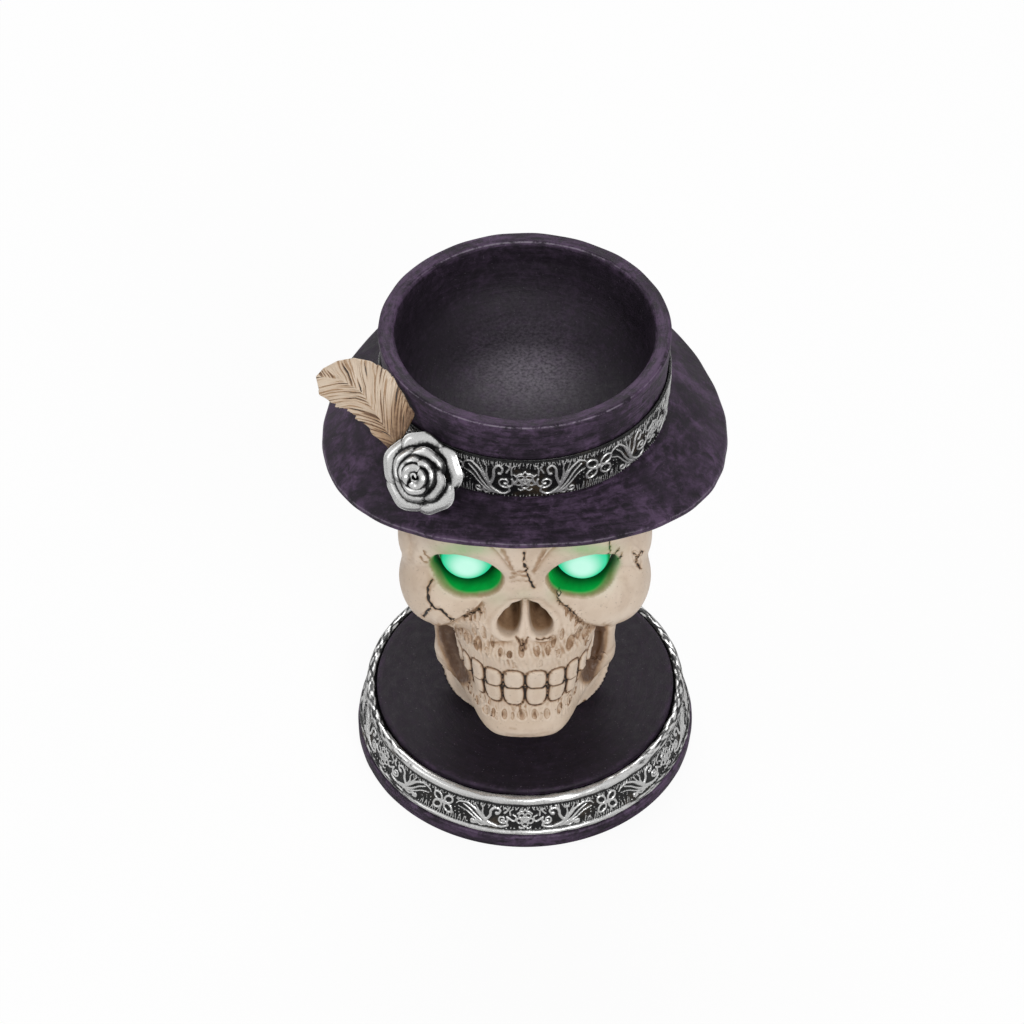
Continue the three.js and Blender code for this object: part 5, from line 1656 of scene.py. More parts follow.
@dataclass(frozen=True)
class Brim:
    """The hat's saddle-shaped brim."""

    flat_radius: float = 57.0
    edge_radius: float = 81.3
    thickness: float = 3.0
    skirt_radius: float = 48.0
    bore: float = 30.9
    drop: float = 9.6
    wave: float = 9.2
    power: float = 1.35
    steps: int = 288

    def fall(self, p: Array) -> Array:
        """How far the brim lies above its level middle, in millimetres."""
        reach = np.hypot(p[:, 0], p[:, 1])
        share = np.clip((reach - self.flat_radius) / (self.edge_radius - self.flat_radius), 0.0, 1.0)
        turn = np.arctan2(p[:, 0], -p[:, 1])
        return (self.wave * np.cos(2 * turn) - self.drop) * share**self.power

    def build(self) -> None:
        """Makes the brim with a lighter edge, from wear and a painted highlight, more on its upper side."""
        top, seat = BRIM_TOP, CROWN_SEAT
        corners = [
            (self.bore, seat, 0.0),
            (self.skirt_radius, seat, 0.8),
            (self.flat_radius - 2.0, top - self.thickness, 1.5),
            (self.edge_radius, top - self.thickness, 1.2),
            (self.edge_radius, top, 1.45),
            (self.bore, top, 0.0),
        ]
        spacing = 1.1
        profile = filled_profile(rounded_profile(corners, 7), spacing)
        piece = spun("brim_resin", profile, self.steps)
        p = places(piece)
        rise = self.fall(p)
        reach = np.hypot(p[:, 0], p[:, 1])
        outer = smooth(reach, 70.0, self.edge_radius)
        upper = p[:, 2] > top - 0.6 * self.thickness
        p[:, 2] += rise - 0.12 * (1.0 + ripple(p, 7.0, 3)) * (reach > 58.0)
        p[:, :2] *= (1.0 - 0.0022 * outer * (1.0 + ripple(p, 9.0, 4)))[:, None]
        move_to(piece, p)
        # Lighter edge: wear and a painted highlight, stronger on the upper side, which faces the light.
        paint(piece, "edge", bell(self.edge_radius - reach - 0.3, 0.5) * np.where(upper, 0.9, 0.5))
        paint(piece, "brush_and_sheen", np.full(len(p), 1.0))
        dress(piece, Finish.HAT, "hat_brim")


@dataclass(frozen=True)
class Crown:
    """The hat's crown with its bowl."""

    height: float = 38.0
    foot: float = 55.3
    shoulder: float = 56.3
    shoulder_height: float = 20.6
    rim: float = 57.5
    opening: float = 51.1
    bowl: float = 50.2
    corner: float = 19.2
    corner_depth: float = 18.0
    floor: float = 4.0
    spigot: float = 30.6
    spigot_wall: float = 3.0
    spigot_length: float = 12.0
    steps: int = 288

    def build(self) -> None:
        """Makes the crown with lighter rim edges, from wear and painted highlights, and a painted sheen on
        the bowl's floor.
        """
        low, high = BRIM_TOP, BRIM_TOP + self.height
        floor = low + self.floor
        walls = [
            (0.0, low, 0.0),
            (self.spigot - self.spigot_wall, low, 0.4),
            (self.spigot - self.spigot_wall, low - self.spigot_length, 0.6),
            (self.spigot, low - self.spigot_length, 0.6),
            (self.spigot, low, 0.0),
            (self.foot, low, 0.4),
            (self.shoulder, low + self.shoulder_height, 0.0),
            (self.rim, high, 1.5),
            (self.opening, high - 0.7, 2.2),
            (self.bowl, floor + self.corner_depth, 0.0),
        ]
        middle = self.bowl - self.corner
        curve = [
            (middle + self.corner * math.cos(a), floor + self.corner_depth * (1.0 - math.sin(a)))
            for a in np.linspace(0.0, math.pi / 2, 18)
        ]
        spacing = 1.1
        outline = filled_profile(rounded_profile(walls, 8) + curve[1:] + [(0.0, floor)], spacing)
        piece = spun("crown_resin", outline, self.steps)
        p = places(piece)
        reach = np.hypot(p[:, 0], p[:, 1])
        shown = (reach > 1.0) & (p[:, 2] > low + 0.5)
        way = p / np.maximum(reach, 1.0)[:, None]
        way[:, 2] = 0.0
        p -= way * (0.10 * (1.0 + ripple(p, 8.0, 5)) * shown * (reach > 40))[:, None]
        p[:, 2] -= 0.12 * (1.0 + ripple(p, 9.0, 6)) * (p[:, 2] > high - 4.0)
        move_to(piece, p)
        turn = np.arctan2(p[:, 0], -p[:, 1])
        outer = np.exp(-(((reach - self.rim + 0.6) / 0.7) ** 2 + ((p[:, 2] - high + 0.7) / 0.8) ** 2))
        inner = np.exp(-(((reach - self.opening - 0.7) / 0.9) ** 2 + ((p[:, 2] - high + 1.1) / 0.9) ** 2))
        # Lighter rim edges: wear and a painted highlight, on the outer edge at the front and the inner edge
        # at the back.
        wear_and_highlight = np.maximum(outer * (0.75 + 0.25 * np.cos(turn)), inner * (0.6 - 0.4 * np.cos(turn)))
        lip = 0.5 * bell(p[:, 2] - high, 5.0) * (reach > self.opening - 1.0)
        paint(piece, "edge", np.maximum(wear_and_highlight, lip))
        # Painted sheen: a lighter patch on the bowl's floor, a little behind its middle, where it reflects
        # the light.
        off = np.hypot(p[:, 0] - 1.0, 0.9 * (p[:, 1] - 12.0))
        sheen = bell(off, 21.0) * (p[:, 2] < floor + 24.0) * (p[:, 2] > low + 1.0)
        paint(piece, "sheen", sheen)
        # Inside the bowl the purple share rises with the painted sheen.
        paint(piece, "brush_and_sheen", np.where(reach < self.opening, 0.2 + 0.8 * sheen, 0.75))
        dress(piece, Finish.HAT, "hat_crown")


# Ornament


@dataclass
class Relief:
    """A pattern of raised strokes on a strip, with its height at each point of a grid."""

    x: Array
    y: Array
    height: Array = field(init=False)

    def __post_init__(self) -> None:
        """Starts with a bare strip."""
        self.height = np.zeros(len(self.x))

    def line(self, stops: Sequence[Pair], width: float, rise: float, taper: float = 0.0) -> None:
        """Raises a rounded stroke along stops, thinner towards its end by the taper."""
        points = np.stack([self.x, self.y], axis=1)
        marks = np.array(stops, float)
        lengths = np.linalg.norm(np.diff(marks, axis=0), axis=1)
        walked = np.concatenate([[0.0], np.cumsum(lengths)])
        for i, (start, end) in enumerate(zip(marks[:-1], marks[1:])):
            along = end - start
            near = np.abs(points - (start + end) / 2).max(axis=1) < np.abs(along).max() / 2 + 2 * width
            rows = np.flatnonzero(near)
            if len(rows) == 0:
                continue
            share, away = to_segment(points[rows], start, end)
            place = (walked[i] + share * lengths[i]) / max(walked[-1], 1e-9)
            half = width * (1.0 - taper * place)
            crest = rise * np.sqrt(np.clip(1.0 - (away / np.maximum(half, 0.05)) ** 2, 0.0, 1.0))
            self.height[rows] = np.maximum(self.height[rows], crest)

    def curve(self, stops: Sequence[Pair], width: float, rise: float, taper: float = 0.0) -> None:
        """Raises a stroke along a smooth curve through stops."""
        self.line(smooth_curve(stops, 7), width, rise, taper)

    def loop(self, centre: Pair, radii: Pair, turn: float, width: float, rise: float) -> None:
        """Raises an oval ring."""
        angles = np.linspace(0.0, math.tau, 21)
        x, y = radii[0] * np.cos(angles), radii[1] * np.sin(angles)
        c, s = math.cos(turn), math.sin(turn)
        self.line(list(zip(centre[0] + c * x - s * y, centre[1] + s * x + c * y)), width, rise)

    def spiral(
        self, centre: Pair, radius: float, start: float, turns: float, width: float, rise: float
    ) -> Pair:
        """Raises a spiral that winds inwards and gives its outer end."""
        angles = np.linspace(0.0, math.tau * turns, 30)
        reach = radius * (1.0 - 0.8 * np.linspace(0.0, 1.0, 30))
        points = [
            (centre[0] + r * math.cos(start + a), centre[1] + r * math.sin(start + a))
            for r, a in zip(reach, angles)
        ]
        self.line(points, width, rise, 0.3)
        self.dot(points[-1], 1.35 * width, rise)
        return points[0]

    def dot(self, centre: Pair, radius: float, rise: float) -> None:
        """Raises a round button."""
        away = np.hypot(self.x - centre[0], self.y - centre[1]) / radius
        self.height = np.maximum(self.height, rise * np.sqrt(np.clip(1.0 - away * away, 0.0, 1.0)))


def smooth_curve(stops: Sequence[Pair], steps: int) -> list[Pair]:
    """Points along a curve that passes smoothly through its stops."""
    marks = [np.array(stop, float) for stop in stops]
    marks = [2 * marks[0] - marks[1], *marks, 2 * marks[-1] - marks[-2]]
    result: list[Pair] = []
    for a, b, c, d in zip(marks, marks[1:], marks[2:], marks[3:]):
        for step in range(steps):
            t = step / steps
            bend, twist = 2 * a - 5 * b + 4 * c - d, 3 * b - a - 3 * c + d
            spot = 0.5 * (2 * b + (c - a) * t + bend * t**2 + twist * t**3)
            result.append((float(spot[0]), float(spot[1])))
    result.append((float(marks[-2][0]), float(marks[-2][1])))
    return result


@dataclass(frozen=True)
class Leaf:
    """A stroke of the ornament: stops as in Scrollwork.at, width and rise in shares of the usual ones."""

    stops: tuple[Pair, ...]
    width: float = 1.0
    rise: float = 1.0
    taper: float = 0.0


LEAVES = (
    Leaf(((0.20, 0.17), (0.26, 0.10), (0.343, 0.10))),
    Leaf(((0.20, 0.17), (0.215, 0.30), (0.245, 0.36)), taper=0.3),
    Leaf(((0.343, 0.10), (0.44, 0.22), (0.53, 0.46), (0.60, 0.68), (0.70, 0.84)), 1.5, 1.0, 0.35),
    Leaf(((0.343, 0.10), (0.455, 0.15), (0.56, 0.34), (0.65, 0.58), (0.74, 0.74)), 1.25, 0.95, 0.5),
    Leaf(((0.343, 0.10), (0.48, 0.12), (0.60, 0.30), (0.70, 0.50), (0.80, 0.58)), 1.1, 0.9, 0.6),
    Leaf(((0.47, 0.34), (0.50, 0.56), (0.50, 0.76), (0.53, 0.90)), 1.1, 0.9, 0.6),
    Leaf(((0.52, 0.50), (0.56, 0.70), (0.60, 0.90)), 1.0, 0.85, 0.6),
    Leaf(((0.70, 0.84), (0.79, 0.78), (0.83, 0.66)), 1.0, 0.9, 0.5),
    Leaf(
        ((0.46, 0.28), (0.41, 0.50), (0.40, 0.72), (0.345, 0.84), (0.29, 0.76), (0.31, 0.62)),
        width=1.35,
        taper=0.3,
    ),
    Leaf(((0.24, 0.66), (0.20, 0.80), (0.235, 0.88)), 1.0, 0.8, 0.4),
    Leaf(((0.17, 0.60), (0.175, 0.76), (0.14, 0.86)), 1.0, 0.8, 0.4),
)


@dataclass(frozen=True)
class Scrollwork:
    """Flowers, scrolls and hatching that repeat round a strip, every other flower alike."""

    pitch: float
    height: float
    stroke: float = 0.5
    rise: float = 0.8
    flowers: int = 12

    def at(self, a: float, b: float) -> Pair:
        """A place on the half pattern: shares of the way between flowers and of the strip's height."""
        return a * self.pitch, b * self.height

    def relief(self, x: Array, y: Array, seed: int) -> Array:
        """Height of the pattern at places from a round flower, x 0, to the next, four-petalled one.

        Args:
            x: Places along the strip, in millimetres.
            y: Places up the strip, in millimetres.
            seed: Which unevenness of the ground.

        Returns:
            The height of each place over the ground, in millimetres.
        """
        art = Relief(x, y)
        self.rosette(art)
        self.scrolls(art)
        self.clover(art)
        self.hatching(art, seed)
        self.stipple(art, seed)
        return art.height

    def rosette(self, art: Relief) -> None:
        """The round flower with its button, petals and crest."""
        size = min(1.0, self.height / 13.0)
        middle = self.at(0.0, 0.44)
        art.loop(middle, (1.1 * size, 1.1 * size), 0.0, 0.8 * self.stroke, self.rise)
        art.dot(middle, 0.75 * size, 0.8 * self.rise)
        for i in range(5):
            angle = math.pi / 2 + math.tau * (i + 0.5) / 5
            spot = (middle[0] + 2.75 * size * math.cos(angle), middle[1] + 2.6 * size * math.sin(angle))
            art.loop(spot, (1.05 * size, 1.35 * size), angle, 0.85 * self.stroke, 0.9 * self.rise)
        crest = [
            (3.4 * size, middle[1] + 3.0 * size),
            (1.9 * size, middle[1] + 4.3 * size),
            (0.9 * size, middle[1] + 4.2 * size),
            (0.0, middle[1] + 5.6 * size),
        ]
        for side in (1.0, -1.0):
            art.curve([(side * px, py) for px, py in crest], 0.8 * self.stroke, self.rise)
            foot = [
                (0.0, middle[1] - 3.9 * size),
                (side * 1.6 * size, middle[1] - 4.8 * size),
                (side * 2.6 * size, middle[1] - 4.1 * size),
            ]
            art.curve(foot, 0.8 * self.stroke, 0.9 * self.rise)

    def scrolls(self, art: Relief) -> None:
        """The scrolls and leaves between two flowers."""
        wide = 1.15 * self.stroke
        start = art.spiral(self.at(0.262, 0.40), 0.13 * self.height + 0.8, 2.5, 1.35, wide, self.rise)
        stem = [start, self.at(0.13, 0.36), self.at(0.10, 0.52), self.at(0.14, 0.62)]
        art.curve(stem, wide, self.rise, 0.4)
        art.dot(self.at(0.33, 0.62), 2.0 * self.stroke, self.rise)
        curl = art.spiral(self.at(0.61, 0.16), 0.07 * self.height + 0.5, 3.0, 1.0, wide, self.rise)
        art.curve([self.at(0.46, 0.10), self.at(0.52, 0.06), curl], wide, 0.9 * self.rise)
        for leaf in LEAVES:
            stops = [self.at(*stop) for stop in leaf.stops]
            art.curve(stops, leaf.width * wide, leaf.rise * self.rise, leaf.taper)

    def clover(self, art: Relief) -> None:
        """The flower of four heart-shaped loops, with a bud in its middle."""
        size = min(1.12, self.height / 13.0)
        middle = self.at(1.0, 0.5)
        for side in (1.0, -1.0):
            for up in (1.0, -1.0):
                spot = (middle[0] + side * 2.75 * size, middle[1] + up * 2.25 * size)
                angle = math.atan2(up, side)
                art.loop(spot, (2.3 * size, 1.75 * size), angle, 1.1 * self.stroke, self.rise)
        art.dot(middle, 1.2 * size, 0.95 * self.rise)

    def hatching(self, art: Relief, seed: int) -> None:
        """Short cuts along the top and below the second flower."""
        uneven = np.random.default_rng(seed)
        for a in np.arange(0.02, 1.0, 0.03):
            jitter = uneven.uniform(-0.008, 0.008)
            top = 0.95 - uneven.uniform(0.0, 0.03)
            low = top - uneven.uniform(0.06, 0.16)
            lean = uneven.uniform(-0.02, 0.03)
            cut = [self.at(a + jitter, top), self.at(a + jitter + lean, low)]
            art.line(cut, 0.62 * self.stroke, 0.75 * self.rise)
        for a in np.arange(0.70, 1.0, 0.03):
            top = 0.12 + uneven.uniform(0.02, 0.14)
            lean = uneven.uniform(-0.02, 0.03)
            art.line([self.at(a, 0.02), self.at(a + lean, top)], 0.6 * self.stroke, 0.75 * self.rise)
        for a in np.arange(0.02, 0.70, 0.05):
            spot = self.at(a + uneven.uniform(-0.01, 0.01), uneven.uniform(0.03, 0.07))
            art.dot(spot, 0.7 * self.stroke, self.rise)
        for a in np.arange(0.72, 0.95, 0.06):
            for b in (0.34, 0.46, 0.86):
                spot = self.at(a + uneven.uniform(-0.01, 0.01), b + uneven.uniform(-0.03, 0.03))
                art.dot(spot, 0.75 * self.stroke, 0.8 * self.rise)

    def stipple(self, art: Relief, seed: int) -> None:
        """Grain of small grit over the ground."""
        uneven = np.random.default_rng(seed + 17)
        speckles = np.zeros(len(art.x))
        for _ in range(10):
            pace = uneven.normal(size=2) * 3.4
            speckles += np.sin(art.x * pace[0] + art.y * pace[1] + uneven.uniform(0, math.tau))
        art.height = np.maximum(art.height, 0.24 * self.rise * smooth(speckles, 1.6, 4.2))


def strip_mesh(
    name: str,
    profile: Sequence[Pair],
    columns: int,
    lifted: Sequence[bool],
    height_of: Pattern,
) -> tuple[Piece, Array]:
    """Sweeps a closed profile round the axis and lifts parts of it by a pattern.

    Args:
        name: The piece's name.
        profile: Radius and height of each point of the closed section, outwards face anticlockwise.
        columns: Number of columns round the axis.
        lifted: Which points of the profile carry the pattern.
        height_of: Gives the pattern's height for angles and profile numbers.

    Returns:
        The piece and the pattern's height at each of its vertices.
    """
    section = np.array(profile, float)
    rows = len(section)
    turn = np.arange(columns) * math.tau / columns
    column, row = np.meshgrid(np.arange(columns), np.arange(rows), indexing="ij")
    column, row = column.ravel(), row.ravel()
    height = np.zeros(len(row))
    carried = np.asarray(lifted)[row]
    height[carried] = height_of(turn[column[carried]], row[carried])
    way = np.roll(section, -1, axis=0) - np.roll(section, 1, axis=0)
    way = np.stack([way[:, 1], -way[:, 0]], axis=1)
    way /= np.linalg.norm(way, axis=1)[:, None]
    radius = section[row, 0] + way[row, 0] * height
    level = section[row, 1] + way[row, 1] * height
    angle = turn[column]
    points = np.stack([radius * np.sin(angle), -radius * np.cos(angle), level], axis=1)
    here = column * rows + row
    beside = ((column + 1) % columns) * rows
    above = (row + 1) % rows
    faces = np.stack([here, beside + row, beside + above, column * rows + above], axis=1)
    return mesh_piece(name, points, faces), height


@dataclass(frozen=True)
class HatBand:
    """The ornamental band round the crown."""

    low_radius: float = 55.6
    high_radius: float = 56.6
    foot: float = 192.3
    height: float = 20.3
    ground: float = 0.55
    columns: int = 1080

    def build(self) -> None:
        """Makes the band with its relief."""
        columns = self.columns
        rows = 66
        shares = np.linspace(0.0, 1.0, rows)
        widening = self.high_radius - self.low_radius
        outer = [(self.low_radius + widening * b + self.ground, self.foot + self.height * b) for b in shares]
        inner = [(self.high_radius, self.foot + self.height), (self.low_radius, self.foot)]
        pitch = math.tau * (self.low_radius + 1.0) / Scrollwork.flowers
        art = Scrollwork(pitch, self.height, 0.46, 0.85)
        lifted = [True] * rows + [False] * 2
        piece, height = strip_mesh("band_silver", outer + inner, columns, lifted, self.pattern(art, shares))
        paint(piece, "raise", height / FULL_RELIEF)
        dress(piece, Finish.SILVER, "hat_band")

    def pattern(self, art: Scrollwork, shares: Array) -> Pattern:
        """The pattern's height for angles and rows.

        Args:
            art: The ornament.
            shares: Each row's place up the band, from 0 to 1.

        Returns:
            A function of angles and row numbers.
        """

        def height_of(turn: Array, row: Array) -> Array:
            """Height at each place."""
            return repeated(art, turn, shares[row], 5)

        return height_of


def repeated(art: Scrollwork, turn: Array, share: Array, seed: int) -> Array:
    """Height of scrollwork that repeats round the axis, mirrored about each flower."""
    flower = turn * art.flowers / math.tau
    number = np.floor(flower).astype(int)
    part = flower - number
    part = np.where(number % 2 == 0, part, 1.0 - part)
    height = np.zeros(len(turn))
    for section in range(art.flowers):
        rows = np.flatnonzero(number % art.flowers == section)
        if len(rows):
            height[rows] = art.relief(part[rows] * art.pitch, share[rows] * art.height, seed + section)
    return height


@dataclass(frozen=True)
class TrimRing:
    """The silver ring round the base: ornament between two beads."""

    foot: float = 7.6
    inner: float = 62.6
    low_bead: float = 1.3
    low_bead_radius: float = 70.2
    low_face: float = 69.9
    high_face: float = 66.9
    high_bead: float = 2.2
    high_bead_radius: float = 66.1
    bead_height: float = 24.3
    drawn_radius: float = 68.6
    # Rows of the high bead painted darker: first under it, a painted shade, then inside, where it meets the
    # disc.
    dark_rows: tuple[Pair, Pair] = ((1.5, 5.0), (14.0, 18.0))
    columns: int = 1320

    def build(self) -> None:
        """Makes the ring with its relief."""
        columns = self.columns
        rows = 40
        face_low, face_high = self.foot + 2 * self.low_bead, self.bead_height - self.high_bead
        shares = np.linspace(0.0, 1.0, rows)
        low = arc((self.low_bead_radius, self.foot + self.low_bead), self.low_bead, (-60.0, 66.0), 9)
        inwards, tall = self.high_face - self.low_face, face_high - face_low
        face = [(self.low_face + inwards * b, face_low + tall * b) for b in shares]
        high = arc((self.high_bead_radius, self.bead_height), self.high_bead, (-50.0, 178.0), 20)
        back = [(self.inner, self.bead_height), (self.inner, self.foot)]
        profile = [*low, *face, *high, *back]
        lifted = [True] * (len(low) + len(face) + len(high)) + [False] * 2
        art = Scrollwork(math.tau * self.drawn_radius / Scrollwork.flowers, tall, 0.52, 0.85)
        first, last = len(low), len(low) + len(face)

        def height_of(turn: Array, row: Array) -> Array:
            """Scrollwork on the face and slight unevenness on the beads."""
            height = np.zeros(len(turn))
            on_face = (row >= first) & (row < last)
            height[on_face] = repeated(art, turn[on_face], shares[row[on_face] - first], 31)
            round_trip = np.stack([66.0 * np.cos(turn), 66.0 * np.sin(turn), 1.0 * row], axis=1)
            uneven = ripple(round_trip, 4.0, 9)
            height[~on_face] = -0.10 * (1.0 + uneven[~on_face])
            return height

        piece, height = strip_mesh("trim_silver", profile, columns, lifted, height_of)
        row = np.tile(np.arange(len(profile)), columns)
        turn = np.repeat(np.arange(columns) * math.tau / columns, len(profile))
        # Painted shade: the beads darker towards the sides and the back, for their dimmer reflection there,
        # broken by noise.
        aside = smooth(np.abs(np.sin(0.5 * turn)), 0.2, 0.62)
        side_noise = ripple(np.stack([70.0 * np.cos(turn), 70.0 * np.sin(turn), 1.6 * row], axis=1), 2.2, 12)
        beads = np.where(row >= last, 0.96, 0.86) + 0.8 * height - aside * (0.36 + 0.36 * side_noise)
        # Painted shade under the high bead, and dark where it meets the disc.
        dark_below, dark_inside = self.dark_rows
        beads *= 1.0 - (row >= last) * (1.0 - smooth(row, last + dark_below[0], last + dark_below[1]))
        beads *= 1.0 - smooth(row, last + dark_inside[0], last + dark_inside[1])
        paint(piece, "raise", np.where((row >= first) & (row < last), height / FULL_RELIEF, beads))
        dress(piece, Finish.SILVER, "base_trim_ring")


@dataclass(frozen=True)
class Plinth:
    """The cast base: a flange below and a disc above."""

    flange_radius: float = 72.3
    flange_height: float = 6.6
    flange_round: float = 1.6
    core_radius: float = 62.3
    disc_radius: float = 63.6
    disc_thickness: float = 2.9
    stand: float = 1.0
    pad_ring: float = 58.0
    pad_room: float = 6.3
    screw_spot: Pair = (21.45, 27.9)
    steps: int = 288

    def build(self) -> None:
        """Makes the base with its recesses."""
        low = self.stand
        corners = [
            (0.0, low, 0.0),
            (self.flange_radius, low, 1.0),
            (self.flange_radius, low + self.flange_height, self.flange_round),
            (self.core_radius, low + self.flange_height, 0.0),
            (self.core_radius, PLINTH_TOP - self.disc_thickness, 0.0),
            (self.disc_radius, PLINTH_TOP - self.disc_thickness, 0.6),
            (self.disc_radius, PLINTH_TOP, 1.4),
            (0.0, PLINTH_TOP, 0.0),
        ]
        spacing = 1.6
        piece = spun("plinth_resin", filled_profile(rounded_profile(corners, 6), spacing), self.steps)
        p = places(piece)
        reach = np.hypot(p[:, 0], p[:, 1])
        top = (p[:, 2] > PLINTH_TOP - 1.0) & (reach > 1.0)
        p[:, 2] -= 0.10 * (1.0 + ripple(p, 9.0, 12)) * top
        skin = (reach > self.flange_radius - 2.0) & (p[:, 2] > 1.5)
        p[:, :2] *= (1.0 - 0.0015 * (1.0 + ripple(p, 8.0, 13)) * skin)[:, None]
        move_to(piece, p)
        self.recess(piece)
        p = places(piece)
        reach = np.hypot(p[:, 0], p[:, 1])
        flange = 0.82 * bell(p[:, 2] - FLANGE_TOP + 0.6, 0.8) * (reach > self.flange_radius - 1.2)
        disc = 0.55 * bell(reach - self.disc_radius + 0.8, 0.9) * (p[:, 2] > PLINTH_TOP - 2.0)
        wall = 0.45 * smooth(reach, self.flange_radius - 3.0, self.flange_radius - 1.0) * (p[:, 2] > 2.0)
        paint(piece, "edge", np.maximum(np.maximum(flange, disc), wall))
        paint(piece, "brush_and_sheen", np.where(p[:, 2] > PLINTH_TOP - 2.0, 0.08, 0.9))
        dress(piece, Finish.HAT, "base_plinth")

    def recess(self, piece: Piece) -> None:
        """Cuts the rooms for the battery box, the leads and the pads."""
        tools = [
            box_piece((-25.3, -38.2, -2.0), (25.3, 38.2, 4.7)),
            box_piece((-18.3, -35.2, -2.0), (18.3, 35.2, 17.4)),
            box_piece((-3.7, 12.0, 14.0), (3.7, 27.3, 22.1)),
            rod_piece(6.0, (0.0, NECK_SETBACK), 15.0, 30.0, 48),
        ]
        for degrees in (45, 135, 225, 315):
            angle = math.radians(degrees)
            spot = (self.pad_ring * math.cos(angle), self.pad_ring * math.sin(angle))
            tools.append(rod_piece(self.pad_room, spot, -2.0, 2.2, 48))
        across, along = self.screw_spot
        for x in (-across, across):
            for y in (-along, along):
                tools.append(rod_piece(1.4, (x, y), 1.0, 9.7, 20))
        cut(piece, tools)


def box_piece(low: Triple, high: Triple) -> Piece:
    """A plain box between two corners, in millimetres."""
    deselect()
    middle = [(a + b) / 2 * MM for a, b in zip(low, high)]
    bpy.ops.mesh.primitive_cube_add(size=1.0, location=middle)
    piece = bpy.context.active_object
    piece.scale = [(b - a) * MM for a, b in zip(low, high)]
    return settle(piece, "box")


def rod_piece(radius: float, spot: Pair, low: float, high: float, sides: int) -> Piece:
    """An upright rod, in millimetres."""
    deselect()
    bpy.ops.mesh.primitive_cylinder_add(
        vertices=sides,
        radius=radius * MM,
        depth=(high - low) * MM,
        location=(spot[0] * MM, spot[1] * MM, (low + high) / 2 * MM),
    )
    return settle(bpy.context.active_object, "rod")


def cut(piece: Piece, tools: Sequence[Piece]) -> None:
    """Cuts tools out of a piece and takes them away."""
    for tool in tools:
        modifier = piece.modifiers.new("cut", "BOOLEAN")
        modifier.operation = "DIFFERENCE"
        modifier.solver = "EXACT"
        modifier.object = tool
        apply_modifiers(piece)
        bpy.data.objects.remove(tool)


# Rose and feather


def beside_band(ring: float, azimuth: float, rise: float) -> Triple:
    """A place at the left of the crown's front, by its distance from the axis, its angle and its height."""
    return -ring * math.sin(azimuth), -ring * math.cos(azimuth), BRIM_TOP + rise


@dataclass(frozen=True)
class Petal:
    """One curved petal: where it stands round the bud, how far out, its size and how it opens."""

    turn: float
    foot: float
    reach: float
    spread: float
    cup: float
    lift: float
    seed: int


